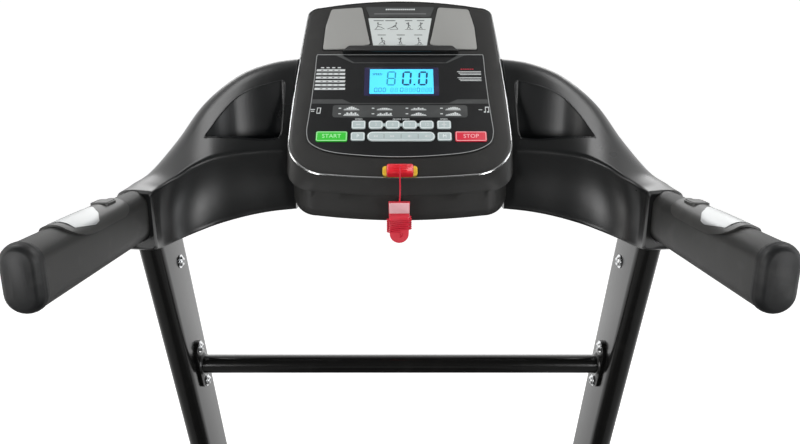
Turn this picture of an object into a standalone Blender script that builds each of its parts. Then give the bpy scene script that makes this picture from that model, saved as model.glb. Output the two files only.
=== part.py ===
"""A folding home treadmill, modelled for Blender 4.5. Metres, +Z up; the runner faces +Y and stands at -Y.

The base frame, the uprights, the handlebars and the console stay on the floor. The deck, with its rollers, belt and
motor, turns up about the pivot ears near the front. The origin is the middle of the footprint, at floor level.
"""

import math

import bmesh
import bpy
from mathutils import Vector

# ---- Driving dimensions -------------------------------------------------------------------------------------------
GAP = 0.0003  # clearance kept between pieces that rest on each other
LENGTH = 1.60  # overall, from the rear caps to the front of the base
LEAN = math.radians(17.5)  # how far the uprights lean back towards the runner

RAIL_X = 0.323  # centre of the base rails, uprights and handlebars
RAIL_BOTTOM, RAIL_TOP, RAIL_FRONT = 0.020, 0.068, 0.744
UPRIGHT_WIDTH, UPRIGHT_DEPTH, WALL = 0.032, 0.092, 0.002
UPRIGHT_FOOT_Y = 0.600

HANDLE_X, HANDLE_Z = 0.325, 1.000
HANDLE_WIDTH, HANDLE_HEIGHT = 0.036, 0.064
HANDLE_REAR, HANDLE_FRONT = 0.0258, 0.350
CROSSBAR_Z, CROSSBAR_RADIUS = 0.735, 0.014

FACE_TILT = math.radians(50)  # slope of the console's face above the horizontal
FACE_Y, FACE_Z = 0.3135, 1.037  # lower edge of the console's face
FACE_LENGTH = 0.313
FACE_HALF = 0.1517  # half the width of the console's face at its widest
CONSOLE_BOTTOM = 0.9775
LIP = -0.0145  # how deep the console's wide front rim reaches

PIVOT_Y, PIVOT_Z, PIVOT_RADIUS = 0.520, 0.110, 0.008
DECK_REAR = -LENGTH / 2
BEAM_X, BEAM_WIDTH = 0.2655, 0.030
BEAM_BOTTOM, BEAM_TOP = 0.089, 0.139
BOARD_THICKNESS = 0.018
BELT_HALF, BELT_THICKNESS = 0.200, 0.002
ROLLER_RADIUS, ROLLER_Z = 0.0225, 0.1355
FRONT_ROLLER_Y, REAR_ROLLER_Y = 0.400, -0.745
SIDE_RAIL_IN, SIDE_RAIL_OUT, SIDE_RAIL_TOP = 0.207, 0.290, 0.175
MOTOR_Y, MOTOR_Z, MOTOR_RADIUS = 0.510, 0.183, 0.042
DRIVE_X, DRIVE_WIDTH = -0.2280, 0.018
ROLLER_PULLEY_RADIUS, MOTOR_PULLEY_RADIUS = 0.036, 0.014
STRUT_X = -0.2655
STRUT_BASE = (0.215, 0.045)  # (y, z) of the strut's lower pin
STRUT_DECK = (-0.330, 0.066)  # (y, z) of the strut's upper pin, with the deck down
KEY_TRAVEL = 0.001

SIDES = (("l", -1), ("r", 1))


# ---- Shape helpers ------------------------------------------------------------------------------------------------
def clear_scene():
    for old in list(bpy.data.objects):
        bpy.data.objects.remove(old)


def finish(name, color, roughness=0.5, metallic=0.0):
    """A plain material."""
    mat = bpy.data.materials.new(name)
    mat.use_nodes = True
    shader = mat.node_tree.nodes["Principled BSDF"]
    shader.inputs["Base Color"].default_value = (*color, 1)
    shader.inputs["Roughness"].default_value = roughness
    shader.inputs["Metallic"].default_value = metallic
    return mat


def make(name, bm, mat, origin=(0, 0, 0)):
    """Turns a bmesh in world coordinates into a named object whose origin is at the given point."""
    bmesh.ops.remove_doubles(bm, verts=bm.verts, dist=1e-6)
    bmesh.ops.recalc_face_normals(bm, faces=bm.faces)
    bmesh.ops.translate(bm, verts=bm.verts, vec=-Vector(origin))
    mesh = bpy.data.meshes.new(name)
    bm.to_mesh(mesh)
    bm.free()
    mesh.shade_smooth()
    mesh.set_sharp_from_angle(angle=math.radians(35))
    obj = bpy.data.objects.new(name, mesh)
    obj.location = origin
    bpy.context.scene.collection.objects.link(obj)
    mesh.materials.append(mat)
    return obj


def loft(rings, inner=None, closed_start=True, closed_end=True):
    """Joins rings of equal count. With inner rings the result is a shell, open where an end isn't closed."""
    bm = bmesh.new()

    def skin(loops, flip):
        rows = [[bm.verts.new(p) for p in loop] for loop in loops]
        count = len(rows[0])
        for low, high in zip(rows, rows[1:]):
            for i in range(count):
                j = (i + 1) % count
                quad = (low[i], low[j], high[j], high[i])
                bm.faces.new(quad[::-1] if flip else quad)
        return rows

    outer = skin(rings, False)
    if inner is None:
        bm.faces.new(outer[0][::-1])
        bm.faces.new(outer[-1])
        return bm
    hollow = skin(inner, True)
    for closed, out_row, in_row in ((closed_start, outer[0], hollow[0]), (closed_end, outer[-1], hollow[-1])):
        if closed:
            bm.faces.new(out_row)
            bm.faces.new(in_row)
            continue
        count = len(out_row)
        for i in range(count):
            j = (i + 1) % count
            bm.faces.new((out_row[i], out_row[j], in_row[j], in_row[i]))
    return bm


def box(low, high):
    (x0, y0, z0), (x1, y1, z1) = low, high
    return loft([[(x0, y0, z), (x1, y0, z), (x1, y1, z), (x0, y1, z)] for z in (z0, z1)])


def rounded(width, height, radius, steps=4):
    """Corner-rounded rectangle about the origin, as (a, b) points, anticlockwise."""
    points = []
    a, b = width / 2 - radius, height / 2 - radius
    for quarter, (ca, cb) in enumerate(((a, b), (-a, b), (-a, -b), (a, -b))):
        for i in range(steps + 1):
            angle = math.pi / 2 * (quarter + i / steps)
            points.append((ca + radius * math.cos(angle), cb + radius * math.sin(angle)))
    return points


def stadium(width, height, steps=6):
    """A flat-sided oval: the full radius on its narrow ends."""
    return rounded(width, height, min(width, height) / 2 - 1e-5, steps)


def circle(radius, count):
    return [(radius * math.cos(t * math.tau / count), radius * math.sin(t * math.tau / count)) for t in range(count)]


def across(points, x0, x1, y=0.0, z=0.0):
    """Rings of (y, z) points at two stations along X."""
    return [[(x, y + a, z + b) for a, b in points] for x in (x0, x1)]


def along(points, y0, y1, x=0.0, z=0.0):
    """Rings of (x, z) points at two stations along Y."""
    return [[(x + a, y, z + b) for a, b in points] for y in (y0, y1)]


def rod(radius, x0, x1, y, z, count=20):
    return loft(across(circle(radius, count), x0, x1, y, z))


def boolean(obj, other, operation):
    """Cuts or joins a helper object, which is then left out of the part."""
    change = obj.modifiers.new(operation.lower(), "BOOLEAN")
    change.operation = operation
    change.object = other
    other.hide_render = True
    other.display_type = "WIRE"


def helper(bm, name):
    return make(name, bm, finish(name, (0.8, 0.2, 0.2)))


# ---- The console's own axes: x across, u up along the face, n out of the face --------------------------------------
def on_face(x, u, n):
    return (
        x,
        FACE_Y + u * math.cos(FACE_TILT) - n * math.sin(FACE_TILT),
        FACE_Z + u * math.sin(FACE_TILT) + n * math.cos(FACE_TILT),
    )


def plate(outline, n0, n1):
    """A flat piece on the face, from an (x, u) outline."""
    return loft([[on_face(x, u, n) for x, u in outline] for n in (n0, n1)])


def pad(x, u, width, height, radius, n0, n1, grow=0.0):
    """A rounded rectangle on the face, grown on every side by grow."""
    shape = rounded(width + 2 * grow, height + 2 * grow, radius + grow)
    return plate([(x + a, u + b) for a, b in shape], n0, n1)


def face_ring(n, bottom, top, inset=0.0, steps=5):
    """The console's rounded outline at depth n: wide and round below, narrower above, with both edges bowed."""
    low_half, high_half = FACE_HALF - inset, 0.918 * FACE_HALF - inset
    bottom, top = bottom + inset, top - inset
    low_radius, high_radius = max(0.055 + min(n + 0.001, 0.0) * 1.5, 0.032), 0.018
    bow_low, bow_high = 0.012, 0.0135
    right = []
    for i in range(steps + 1):
        x = (low_half - low_radius) * i / steps
        right.append((x, bottom + bow_low * (x / low_half) ** 2))
    corner_u = right[-1][1] + low_radius
    for i in range(1, steps + 1):
        t = math.pi / 2 * i / steps
        right.append((low_half - low_radius * (1 - math.sin(t)), corner_u - low_radius * math.cos(t)))
    turn_u = top - bow_high - high_radius
    for i in range(1, steps):
        share = i / steps
        width = low_half + (high_half - low_half) * share**1.6
        right.append((width, corner_u + (turn_u - corner_u) * share))
    for i in range(steps + 1):
        t = math.pi / 2 * i / steps
        right.append((high_half - high_radius * (1 - math.cos(t)), turn_u + high_radius * math.sin(t)))
    edge = high_half - high_radius
    for i in range(1, steps + 1):
        x = edge * (1 - i / steps)
        right.append((x, top - bow_high * (x / edge) ** 2))
    left = [(-x, u) for x, u in right[-2:0:-1]]
    return [on_face(x, u, n) for x, u in right + left]


# ---- Base frame and uprights --------------------------------------------------------------------------------------
def upright_y(z):
    """Centre line of the leaning uprights at height z."""
    return UPRIGHT_FOOT_Y - (z - RAIL_TOP) * math.tan(LEAN)


def upright_rings(x, z0, z1, grow=0.0):
    shape = stadium(UPRIGHT_WIDTH + 2 * grow, UPRIGHT_DEPTH + 2 * grow)
    return [[(x + a, upright_y(z) + b / math.cos(LEAN), z) for a, b in shape] for z in (z0, z1)]


def base_frame(steel, rubber):
    for side, sign in SIDES:
        x = sign * RAIL_X
        z = (RAIL_BOTTOM + RAIL_TOP) / 2
        tube = rounded(0.040, RAIL_TOP - RAIL_BOTTOM, 0.006, 2)
        bore = rounded(0.036, RAIL_TOP - RAIL_BOTTOM - 2 * WALL, 0.004, 2)
        rings = along(tube, -0.020, RAIL_FRONT, x, z)
        rail = make(f"base_rail_{side}", loft(rings, along(bore, -0.020, RAIL_FRONT, x, z), False, False), steel)
        ear_outline = [(0.060, -0.085), (0.060, -0.030), (0.014, 0.018), (-0.014, 0.018), (-0.060, -0.030),
                       (-0.060, -0.085)]
        inner, outer = sign * 0.2960, sign * 0.3045
        ear = helper(loft(across(ear_outline, inner, outer, PIVOT_Y, PIVOT_Z)), f"pivot_ear_{side}")
        pin = helper(rod(PIVOT_RADIUS, sign * 0.2540, sign * 0.3000, PIVOT_Y, PIVOT_Z, 24), f"pivot_pin_{side}")
        boolean(rail, ear, "UNION")
        boolean(rail, pin, "UNION")
        foot_z = (0.0, RAIL_BOTTOM - GAP)
        foot = rounded(0.036, 0.050, 0.008, 2)
        make(f"base_foot_{side}", loft([[(x + a, 0.012 + b, z) for a, b in foot] for z in foot_z]), rubber)

    span = RAIL_X - 0.020 - GAP
    front = rounded(0.040, 0.040, 0.006, 2)
    bore = rounded(0.036, 0.036, 0.004, 2)
    for name, y in (("base_front_tube", 0.735), ("base_rear_tube", 0.257)):
        rings = across(front, -span, span, y, 0.042)
        tube = make(name, loft(rings, across(bore, -span, span, y, 0.042), False, False), steel)
        if name == "base_rear_tube":
            strut_clevis(tube)


def strut_clevis(tube):
    """Two ears behind the rear tube, with the pin that the strut's lower eye turns on."""
    y, z = STRUT_BASE
    outline = [(0.024, -0.012), (0.024, 0.012), (0.0, 0.011), (-0.009, 0.005), (-0.009, -0.005), (0.0, -0.011)]
    for i, offset in enumerate((-0.0155, 0.0115)):
        ear = helper(loft(across(outline, STRUT_X + offset, STRUT_X + offset + 0.004, y, z)), f"strut_ear_{i}")
        boolean(tube, ear, "UNION")
    boolean(tube, helper(rod(0.004, STRUT_X - 0.0135, STRUT_X + 0.0135, y, z, 16), "strut_pin"), "UNION")


def transport_wheels(rubber):
    """Two wheels at the front of the base. They carry it, and it rolls on them when it is tipped up."""
    for side, sign in SIDES:
        centre = (sign * RAIL_X, LENGTH / 2 - 0.026, 0.026)
        profile = [(0.0045, -0.011), (0.020, -0.011), (0.026, -0.007), (0.026, 0.007), (0.020, 0.011), (0.0045, 0.011)]
        bm = bmesh.new()
        rows = [
            [bm.verts.new((centre[0] + w, centre[1] + r * math.cos(t), centre[2] + r * math.sin(t))) for r, w in profile]
            for t in (i * math.tau / 24 for i in range(24))
        ]
        for a, b in zip(rows, rows[1:] + rows[:1]):
            for i in range(len(profile)):
                j = (i + 1) % len(profile)
                bm.faces.new((a[i], a[j], b[j], b[i]))
        make(f"transport_wheel_{side}", bm, rubber, centre)


def wheel_forks():
    """Fork plates and an axle stub, welded to each base rail's front end, that hold the transport wheel."""
    for side, sign in SIDES:
        rail = bpy.data.objects[f"base_rail_{side}"]
        y, z = LENGTH / 2 - 0.026, 0.026
        for i, offset in enumerate((-0.0195, 0.0155)):
            outline = [(-0.050, 0.004), (0.006, -0.008), (0.009, 0.006), (-0.008, 0.034), (-0.050, 0.034)]
            x = sign * RAIL_X + offset
            boolean(rail, helper(loft(across(outline, x, x + 0.004, y, z)), f"wheel_fork_{side}_{i}"), "UNION")
        x = sign * RAIL_X
        boolean(rail, helper(rod(0.004, x - 0.017, x + 0.017, y, z, 16), f"wheel_axle_{side}"), "UNION")


def uprights(steel):
    top = HANDLE_Z - HANDLE_HEIGHT / 2 - GAP
    for side, sign in SIDES:
        x = sign * RAIL_X
        rings = upright_rings(x, RAIL_TOP + GAP, top)
        make(f"upright_{side}", loft(rings, upright_rings(x, RAIL_TOP + GAP, top, -WALL), False, False), steel)


def crossbar(steel):
    """A round tube welded to a flange plate at each end; each plate is bolted to an upright's inner side."""
    y = upright_y(CROSSBAR_Z)
    face = RAIL_X - UPRIGHT_WIDTH / 2 - GAP
    bar = make("crossbar", rod(CROSSBAR_RADIUS, -face + 0.002, face - 0.002, y, CROSSBAR_Z, 28), steel)
    for side, sign in SIDES:
        turned = [
            (a * math.cos(LEAN) - b * math.sin(LEAN), a * math.sin(LEAN) + b * math.cos(LEAN))
            for a, b in stadium(0.034, 0.084, 5)
        ]
        flange = helper(loft(across(turned, sign * (face - 0.004), sign * face, y, CROSSBAR_Z)), f"flange_{side}")
        boolean(bar, flange, "UNION")


# ---- Handlebars ---------------------------------------------------------------------------------------------------
def handlebars(steel, rubber, plastic):
    for side, sign in SIDES:
        x = sign * HANDLE_X
        shape = stadium(HANDLE_WIDTH, HANDLE_HEIGHT)
        bore = stadium(HANDLE_WIDTH - 2 * WALL, HANDLE_HEIGHT - 2 * WALL)
        rings = along(shape, HANDLE_REAR, HANDLE_FRONT, x, HANDLE_Z)
        inner = along(bore, HANDLE_REAR, HANDLE_FRONT, x, HANDLE_Z)
        make(f"handlebar_{side}", loft(rings, inner, False, False), steel)
        handle_cap(side, x, rubber)
        pulse_grip(side, x, plastic)


def handle_cap(side, x, rubber):
    """A domed plug over the end of the tube."""
    rows = []
    for y, grow in ((0.0, 0.0006), (-0.0030, 0.0006), (-0.0070, -0.0010), (-0.0100, -0.0040), (-0.0123, -0.0110)):
        shape = stadium(HANDLE_WIDTH + 2 * grow, HANDLE_HEIGHT + 2 * grow)
        rows.append([(x + a, HANDLE_REAR - GAP + y, HANDLE_Z + b) for a, b in shape])
    make(f"handle_cap_{side}", loft(rows[::-1]), rubber)


GRIP_REAR, GRIP_FRONT = 0.075, 0.201
GRIP_REACH = 1.46  # how far the saddle wraps each way from the top of the handlebar, in radians
GRIP_THICKNESS = 0.0022
QUICK_KEY_Y = 0.178


def grip_ring(x, y, thickness):
    """The saddle's section: an arc over the handlebar's round top, of the given thickness."""
    radius = HANDLE_WIDTH / 2 + GAP
    centre = HANDLE_Z + HANDLE_HEIGHT / 2 - HANDLE_WIDTH / 2
    angles = [math.pi / 2 + GRIP_REACH * (i / 6 - 1) for i in range(13)]
    outer = [(x + (radius + thickness) * math.cos(t), y, centre + (radius + thickness) * math.sin(t)) for t in angles]
    inner = [(x + radius * math.cos(t), y, centre + radius * math.sin(t)) for t in reversed(angles)]
    return outer + inner


def pulse_grip(side, x, plastic):
    """The moulded saddle that carries the hand-pulse plates and the quick key."""
    thin, run = 0.4 * GRIP_THICKNESS, 0.006
    stations = ((GRIP_REAR, thin), (GRIP_REAR + run, GRIP_THICKNESS), (GRIP_FRONT - run, GRIP_THICKNESS),
                (GRIP_FRONT, thin))
    bm = loft([grip_ring(x, y, thick) for y, thick in stations])
    grip = make(f"pulse_grip_{side}", bm, plastic)
    top = HANDLE_Z + HANDLE_HEIGHT / 2
    width, length, play = 0.016, 0.020, 0.0004
    low = (x - width / 2 - play, QUICK_KEY_Y - length / 2 - play, top - 0.002)
    high = (x + width / 2 + play, QUICK_KEY_Y + length / 2 + play, top + 0.012)
    boolean(grip, helper(box(low, high), f"quick_key_hole_{side}"), "DIFFERENCE")
    key_low, key_high = top + 0.0013, top + 0.0039
    rings = [[(x + a, QUICK_KEY_Y + b, z) for a, b in rounded(width, length, 0.003, 3)] for z in (key_low, key_high)]
    make(f"handle_key_{side}", loft(rings), plastic, (x, QUICK_KEY_Y, key_high))


# ---- Arms that join the handlebars to the console -----------------------------------------------------------------
# Each station along an arm: the front line (x, y), the back line (x, y), and the heights of the front's lower edge,
# the crest, the top and the back's lower edge.
ARM_STATIONS = (
    ((0.3015, 0.2560), (0.3470, 0.2560), 0.9560, 1.0310, 1.0370, 0.9580),
    ((0.2990, 0.2760), (0.3480, 0.2960), 0.9532, 1.0330, 1.0400, 0.9580),
    ((0.2890, 0.2960), (0.3400, 0.3460), 0.9562, 1.0410, 1.0500, 0.9610),
    ((0.2700, 0.3140), (0.3180, 0.3980), 0.9625, 1.0540, 1.0860, 0.9670),
    ((0.2440, 0.3280), (0.2860, 0.4300), 0.9706, 1.0640, 1.1340, 0.9740),
    ((0.2100, 0.3400), (0.2380, 0.4520), 0.9785, 1.0680, 1.1720, 0.9800),
    ((0.1780, 0.3500), (0.1880, 0.4640), 0.9830, 1.0690, 1.1900, 0.9840),
    ((0.1450, 0.3580), (0.1450, 0.4700), 0.9850, 1.0680, 1.1960, 0.9860),
)


def smooth(values, t):
    """Catmull-Rom reading of a list of numbers at t, from 0 to the last index."""
    i = min(int(t), len(values) - 2)
    s = t - i
    p0, p1, p2 = values[max(i - 1, 0)], values[i], values[i + 1]
    p3 = values[min(i + 2, len(values) - 1)]
    return 0.5 * (2 * p1 + (p2 - p0) * s + (2 * p0 - 5 * p1 + 4 * p2 - p3) * s * s + (3 * p1 - p0 - 3 * p2 + p3) * s**3)


def arm_section(t, inset=0.0):
    """The arm's closed section at t, set in from its skin: the front and back lines share a vertical plane."""
    columns = list(zip(*[(*front, *back, *heights) for front, back, *heights in ARM_STATIONS]))
    fx, fy, bx, by, low, crest, top, back_low = (smooth(column, t) for column in columns)
    flat = 0.34  # share of the depth that the slanted tray face leaves for the rounded top
    corners = [(0, low), (0, crest), (1 - flat, top - 0.004), (1, top - 0.010), (1, back_low)]
    radii = [0.010, 0.006, 0.020, 0.012, 0.010]
    depth = math.hypot(bx - fx, by - fy)
    shares = ((1, 1), (1, -1), (0, -1), (-1, -1), (-1, 1))
    corners = [(d * depth + inset * a, z + inset * b) for (d, z), (a, b) in zip(corners, shares)]
    points = round_corners(corners, radii, 3)
    return [(fx + (bx - fx) * d / depth, fy + (by - fy) * d / depth, z) for d, z in points]


def round_corners(corners, radii, steps):
    """Replaces each corner of a polygon by a short curve that starts and ends a radius away from it."""
    points = []
    for i, (corner, radius) in enumerate(zip(corners, radii)):
        here = Vector(corner)
        before = Vector(corners[i - 1]) - here
        after = Vector(corners[(i + 1) % len(corners)]) - here
        a = here + before.normalized() * min(radius, before.length * 0.45)
        b = here + after.normalized() * min(radius, after.length * 0.45)
        for k in range(steps + 1):
            s = k / steps
            points.append(tuple(a * (1 - s) ** 2 + here * 2 * s * (1 - s) + b * s * s))
    return points


ARM_WALL = 0.003
HOLLOW_START = 2.9  # the arm is solid from the collar to here, and a shell from here to the console


def arm_hollow(sign, pocket_wall):
    """The space inside the arm, open towards the console, with the bottle pocket's wall left standing in it."""
    last = len(ARM_STATIONS) - 1
    steps = 8
    rings = []
    for i in range(steps + 1):
        ring = arm_section(HOLLOW_START + (last - HOLLOW_START) * i / steps, ARM_WALL)
        rings.append([(sign * x, y, z) for x, y, z in ring])
    rings.append([(x - sign * 0.002, y, z) for x, y, z in rings[-1]])
    space = helper(loft(rings), f"arm_hollow_{sign}")
    boolean(space, pocket_wall, "DIFFERENCE")
    return space


def arms(plastic):
    steps = 14
    for side, sign in SIDES:
        last = len(ARM_STATIONS) - 1
        rings = [[(sign * x, y, z) for x, y, z in arm_section(last * i / steps)] for i in range(steps + 1)]
        arm = make(f"arm_{side}", loft(rings), plastic)
        boolean(arm, arm_hollow(sign, helper(bottle_pocket(sign, ARM_WALL), f"pocket_wall_{side}")), "DIFFERENCE")
        x = sign * HANDLE_X
        grown = stadium(HANDLE_WIDTH + 4 * GAP, HANDLE_HEIGHT + 4 * GAP)
        tube = helper(loft(along(grown, 0.20, HANDLE_FRONT + 4 * GAP, x, HANDLE_Z)), f"handle_hole_{side}")
        boolean(arm, tube, "DIFFERENCE")
        post = helper(loft(upright_rings(sign * RAIL_X, 0.90, 0.9950, 2 * GAP)), f"upright_hole_{side}")
        boolean(arm, post, "DIFFERENCE")
        boolean(arm, helper(bottle_pocket(sign), f"bottle_pocket_{side}"), "DIFFERENCE")
        seat = [face_ring(n, -0.010, FACE_LENGTH, -2 * GAP) for n in (0.010, LIP - 2 * GAP)]
        boolean(arm, helper(loft(seat), f"console_seat_{side}"), "DIFFERENCE")


POCKET_BOTTOM = 1.008
POCKET_CORNERS = (
    (0.1635, 0.3640), (0.1900, 0.3562), (0.2330, 0.3507), (0.2640, 0.3520), (0.2450, 0.3772), (0.2200, 0.3953),
    (0.1620, 0.4108),
)
POCKET_RADII = (0.005, 0.030, 0.030, 0.004, 0.020, 0.030, 0.008)


def bottle_pocket(sign, grow=0.0):
    """The upright pocket that a drinks bottle stands in, open above."""
    centre = sum((Vector(corner) for corner in POCKET_CORNERS), Vector((0, 0))) / len(POCKET_CORNERS)
    corners = []
    for corner in POCKET_CORNERS:
        out = Vector(corner) - centre
        corners.append(tuple(Vector(corner) + out.normalized() * grow * 1.3))
    outline = round_corners(corners, POCKET_RADII, 4)
    return loft([[(sign * x, y, z) for x, y in outline] for z in (POCKET_BOTTOM - grow, 1.25)])


# ---- Console ------------------------------------------------------------------------------------------------------
def lower_edge(n):
    """u of the console's lower edge at depth n: the wall drops straight down, then the underside runs level."""
    wall = n * math.tan(FACE_TILT)
    underside = (CONSOLE_BOTTOM - FACE_Z - n * math.cos(FACE_TILT)) / math.sin(FACE_TILT)
    return max(wall, underside)


PANEL_RECESS = 0.003
LEDGE_U = 0.2150
KEYS = (  # name, x, u, width, height, corner radius
    ("key_start", -0.0923, 0.0640, 0.042, 0.0160, 0.003),
    ("key_stop", 0.0958, 0.0640, 0.042, 0.0160, 0.003),
    ("key_speed_down", -0.0565, 0.0830, 0.019, 0.0135, 0.003),
    ("key_speed_up", 0.0600, 0.0830, 0.019, 0.0135, 0.003),
    ("key_program", -0.0570, 0.0640, 0.019, 0.0135, 0.003),
    ("key_mode", 0.0602, 0.0640, 0.019, 0.0135, 0.003),
    ("quick_speed_keys", 0.0016, 0.0830, 0.089, 0.0135, 0.003),
    ("media_keys", 0.0015, 0.0640, 0.091, 0.0145, 0.007),
)
LCD = (0.0022, 0.1575, 0.1056, 0.050)  # x, u, width, height


def console(plastic, silver, display_mat, panel_mat, keys_mats):
    lip, step = LIP, 0.0085
    shift = step - 0.001  # the body is narrower than the rim at its sides, but hardly at its lower edge
    joint = -0.048
    rear = -0.092
    outer = [
        face_ring(0.0, 0.0, FACE_LENGTH, 0.002),
        face_ring(-0.003, lower_edge(-0.003), FACE_LENGTH + 0.0023),
        face_ring(lip, lower_edge(lip), FACE_LENGTH),
        face_ring(lip - 0.0005, lower_edge(lip) - shift, FACE_LENGTH - 0.001, step),
        face_ring(-0.0355, lower_edge(-0.0355) - shift, FACE_LENGTH - 0.002, step),
        face_ring(joint, lower_edge(joint) - shift, FACE_LENGTH - 0.006, step),
    ]
    wall = 0.003
    inner = [
        face_ring(-0.0035, lower_edge(-0.0035) + wall, FACE_LENGTH - wall, step + wall),
        face_ring(joint, lower_edge(joint) + wall - shift, FACE_LENGTH - 0.006 - wall, step + wall),
    ]
    front = make("console_front", loft_uneven(outer, inner), plastic)
    ledge = [(-0.084, LEDGE_U - 0.008), (0.086, LEDGE_U - 0.008), (0.076, LEDGE_U + 0.004), (-0.074, LEDGE_U + 0.004)]
    boolean(front, helper(plate(ledge, -0.002, 0.0085), "book_ledge"), "UNION")

    outer = [
        face_ring(joint - GAP, lower_edge(joint) - shift, FACE_LENGTH - 0.006, step),
        face_ring(-0.070, lower_edge(-0.070) - shift, FACE_LENGTH - 0.014, step + 0.002),
        face_ring(-0.084, lower_edge(-0.084) + 0.006, FACE_LENGTH - 0.030, step + 0.010),
        face_ring(rear, lower_edge(rear) + 0.020, FACE_LENGTH - 0.050, step + 0.028),
    ]
    inner = [
        face_ring(joint - GAP, lower_edge(joint) + wall - shift, FACE_LENGTH - 0.006 - wall, step + wall),
        face_ring(-0.070, lower_edge(-0.070) + wall - shift, FACE_LENGTH - 0.014 - wall, step + 0.002 + wall),
        face_ring(-0.086, lower_edge(-0.084) + 0.010, FACE_LENGTH - 0.036, step + 0.014),
        face_ring(rear + wall, lower_edge(rear) + 0.022, FACE_LENGTH - 0.052, step + 0.030),
    ]
    make("console_back", loft(outer, inner, closed_start=False, closed_end=True), plastic)

    panel_outline = [
        (-0.1270, 0.072), (-0.1200, 0.0545), (-0.0927, 0.0405), (-0.0456, 0.0340), (0.0, 0.0318), (0.0456, 0.0340),
        (0.0927, 0.0405), (0.1200, 0.0545), (0.1270, 0.072), (0.1236, 0.1248), (0.1190, 0.2055), (-0.1190, 0.2055),
        (-0.1236, 0.1248),
    ]
    panel = make("keypad_panel", plate(panel_outline, GAP, 0.0018), panel_mat)
    x, u, width, height = LCD
    window = helper(pad(x, u, width, height, 0.001, -0.001, 0.003, 0.0004), "lcd_window")
    boolean(panel, window, "DIFFERENCE")
    make("display_module", pad(x, u, width, height, 0.001, GAP, 0.0014), display_mat)
    for name, x, u, width, height, radius in KEYS:
        hole = helper(pad(x, u, width, height, radius, -0.001, 0.003, 0.0004), f"{name}_hole")
        boolean(panel, hole, "DIFFERENCE")
        bottom, top = GAP + KEY_TRAVEL, 0.0032
        make(name, pad(x, u, width, height, radius, bottom, top), keys_mats.get(name, silver), on_face(x, u, top))

    for side, sign in SIDES:
        outline = [(sign * x, u) for x, u in ((0.0420, 0.2245), (0.0560, 0.2955), (0.1010, 0.2900), (0.1110, 0.2600),
                                              (0.1130, 0.2245))]
        make(f"speaker_{side}", plate(outline if sign > 0 else outline[::-1], GAP, 0.0020), silver)


def loft_uneven(outer, inner):
    """A shell closed at the face: more rings outside than inside, joined round its open rear edge."""
    bm = loft(outer, None)
    bm.faces.ensure_lookup_table()
    rear_cap = bm.faces[-1]
    rear_loop = list(rear_cap.verts)
    bm.faces.remove(rear_cap)
    rows = [[bm.verts.new(p) for p in ring] for ring in inner]
    count = len(rows[0])
    bm.faces.new(rows[0])
    for i in range(count):
        j = (i + 1) % count
        bm.faces.new((rows[0][j], rows[0][i], rows[1][i], rows[1][j]))
        bm.faces.new((rear_loop[i], rear_loop[j], rows[1][j], rows[1][i]))
    return bm


# ---- Safety key, its lanyard and clip -----------------------------------------------------------------------------
SOCKET_U, SAFETY_KEY_U = 0.0102, 0.0072
CORD_RADIUS = 0.0011
CLIP_X, CLIP_Y, CLIP_TOP, CLIP_BOTTOM = -0.001, 0.2965, 1.0100, 0.9550
CLIP_WIDTH, CLIP_DEPTH = 0.028, 0.0105
WINDING_LOW, WINDING_HIGH = 0.9660, 0.9890
CORD_ROUTE = (  # x, y, z down the front of the safety key to the top of the clip
    (0.0, 0.3066, 1.0530),
    (0.0, 0.3020, 1.0526),
    (0.0, 0.2985, 1.0503),
    (0.0, 0.2968, 1.0465),
    (0.0, 0.2962, 1.0425),
    (0.0, 0.2961, 1.0380),
    (0.0001, 0.2960, 1.0320),
    (0.0002, 0.2961, 1.0260),
    (0.0001, 0.2962, 1.0210),
    (-0.0004, 0.2964, 1.0160),
    (-0.0009, 0.2965, 1.0105),
)


def safety_key(red, yellow, red_cord):
    socket = pad(0.0, SOCKET_U, 0.046, 0.0145, 0.004, GAP, 0.0034)
    make("safety_socket", socket, yellow)
    rings = []
    for n, grow in ((0.0037, 0.0), (0.0130, 0.0), (0.0147, -0.0015)):
        shape = rounded(0.0352 + 2 * grow, 0.0150 + 2 * grow, 0.002)
        rings.append([on_face(a, SAFETY_KEY_U + b, n) for a, b in shape])
    make("safety_key", loft(rings), red, on_face(0.0, SAFETY_KEY_U, 0.0037))

    curve = bpy.data.curves.new("lanyard", "CURVE")
    curve.dimensions = "3D"
    curve.bevel_depth = CORD_RADIUS
    curve.bevel_resolution = 2
    curve.use_fill_caps = True
    spline = curve.splines.new("POLY")
    spline.points.add(len(CORD_ROUTE) - 1)
    for point, place in zip(spline.points, CORD_ROUTE):
        point.co = (*place, 1)
    lanyard = bpy.data.objects.new("lanyard", curve)
    bpy.context.scene.collection.objects.link(lanyard)
    curve.materials.append(red_cord)

    rings = []
    shape_heights = ((CLIP_BOTTOM, 0.35), (CLIP_BOTTOM + 0.003, 0.62), (CLIP_BOTTOM + 0.008, 0.84),
                     (CLIP_BOTTOM + 0.014, 0.90), (CLIP_TOP - 0.001, 1.0), (CLIP_TOP, 0.96))
    for z, share in shape_heights:
        shape = rounded(CLIP_WIDTH * share, CLIP_DEPTH, 0.003, 3)
        rings.append([(CLIP_X + a, CLIP_Y + b, z - GAP) for a, b in shape])
    make("lanyard_clip", loft(rings), red)
    inside = rounded(CLIP_WIDTH - 0.0006, CLIP_DEPTH + 0.001, 0.0035, 3)
    outside = rounded(CLIP_WIDTH + 0.005, CLIP_DEPTH + 0.008, 0.0065, 3)
    heights = (WINDING_LOW, WINDING_HIGH)
    outer = [[(CLIP_X + a, CLIP_Y + b, z) for a, b in outside] for z in heights]
    inner = [[(CLIP_X + a, CLIP_Y + b, z) for a, b in inside] for z in heights]
    make("lanyard_winding", loft(outer, inner, False, False), red_cord)


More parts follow.
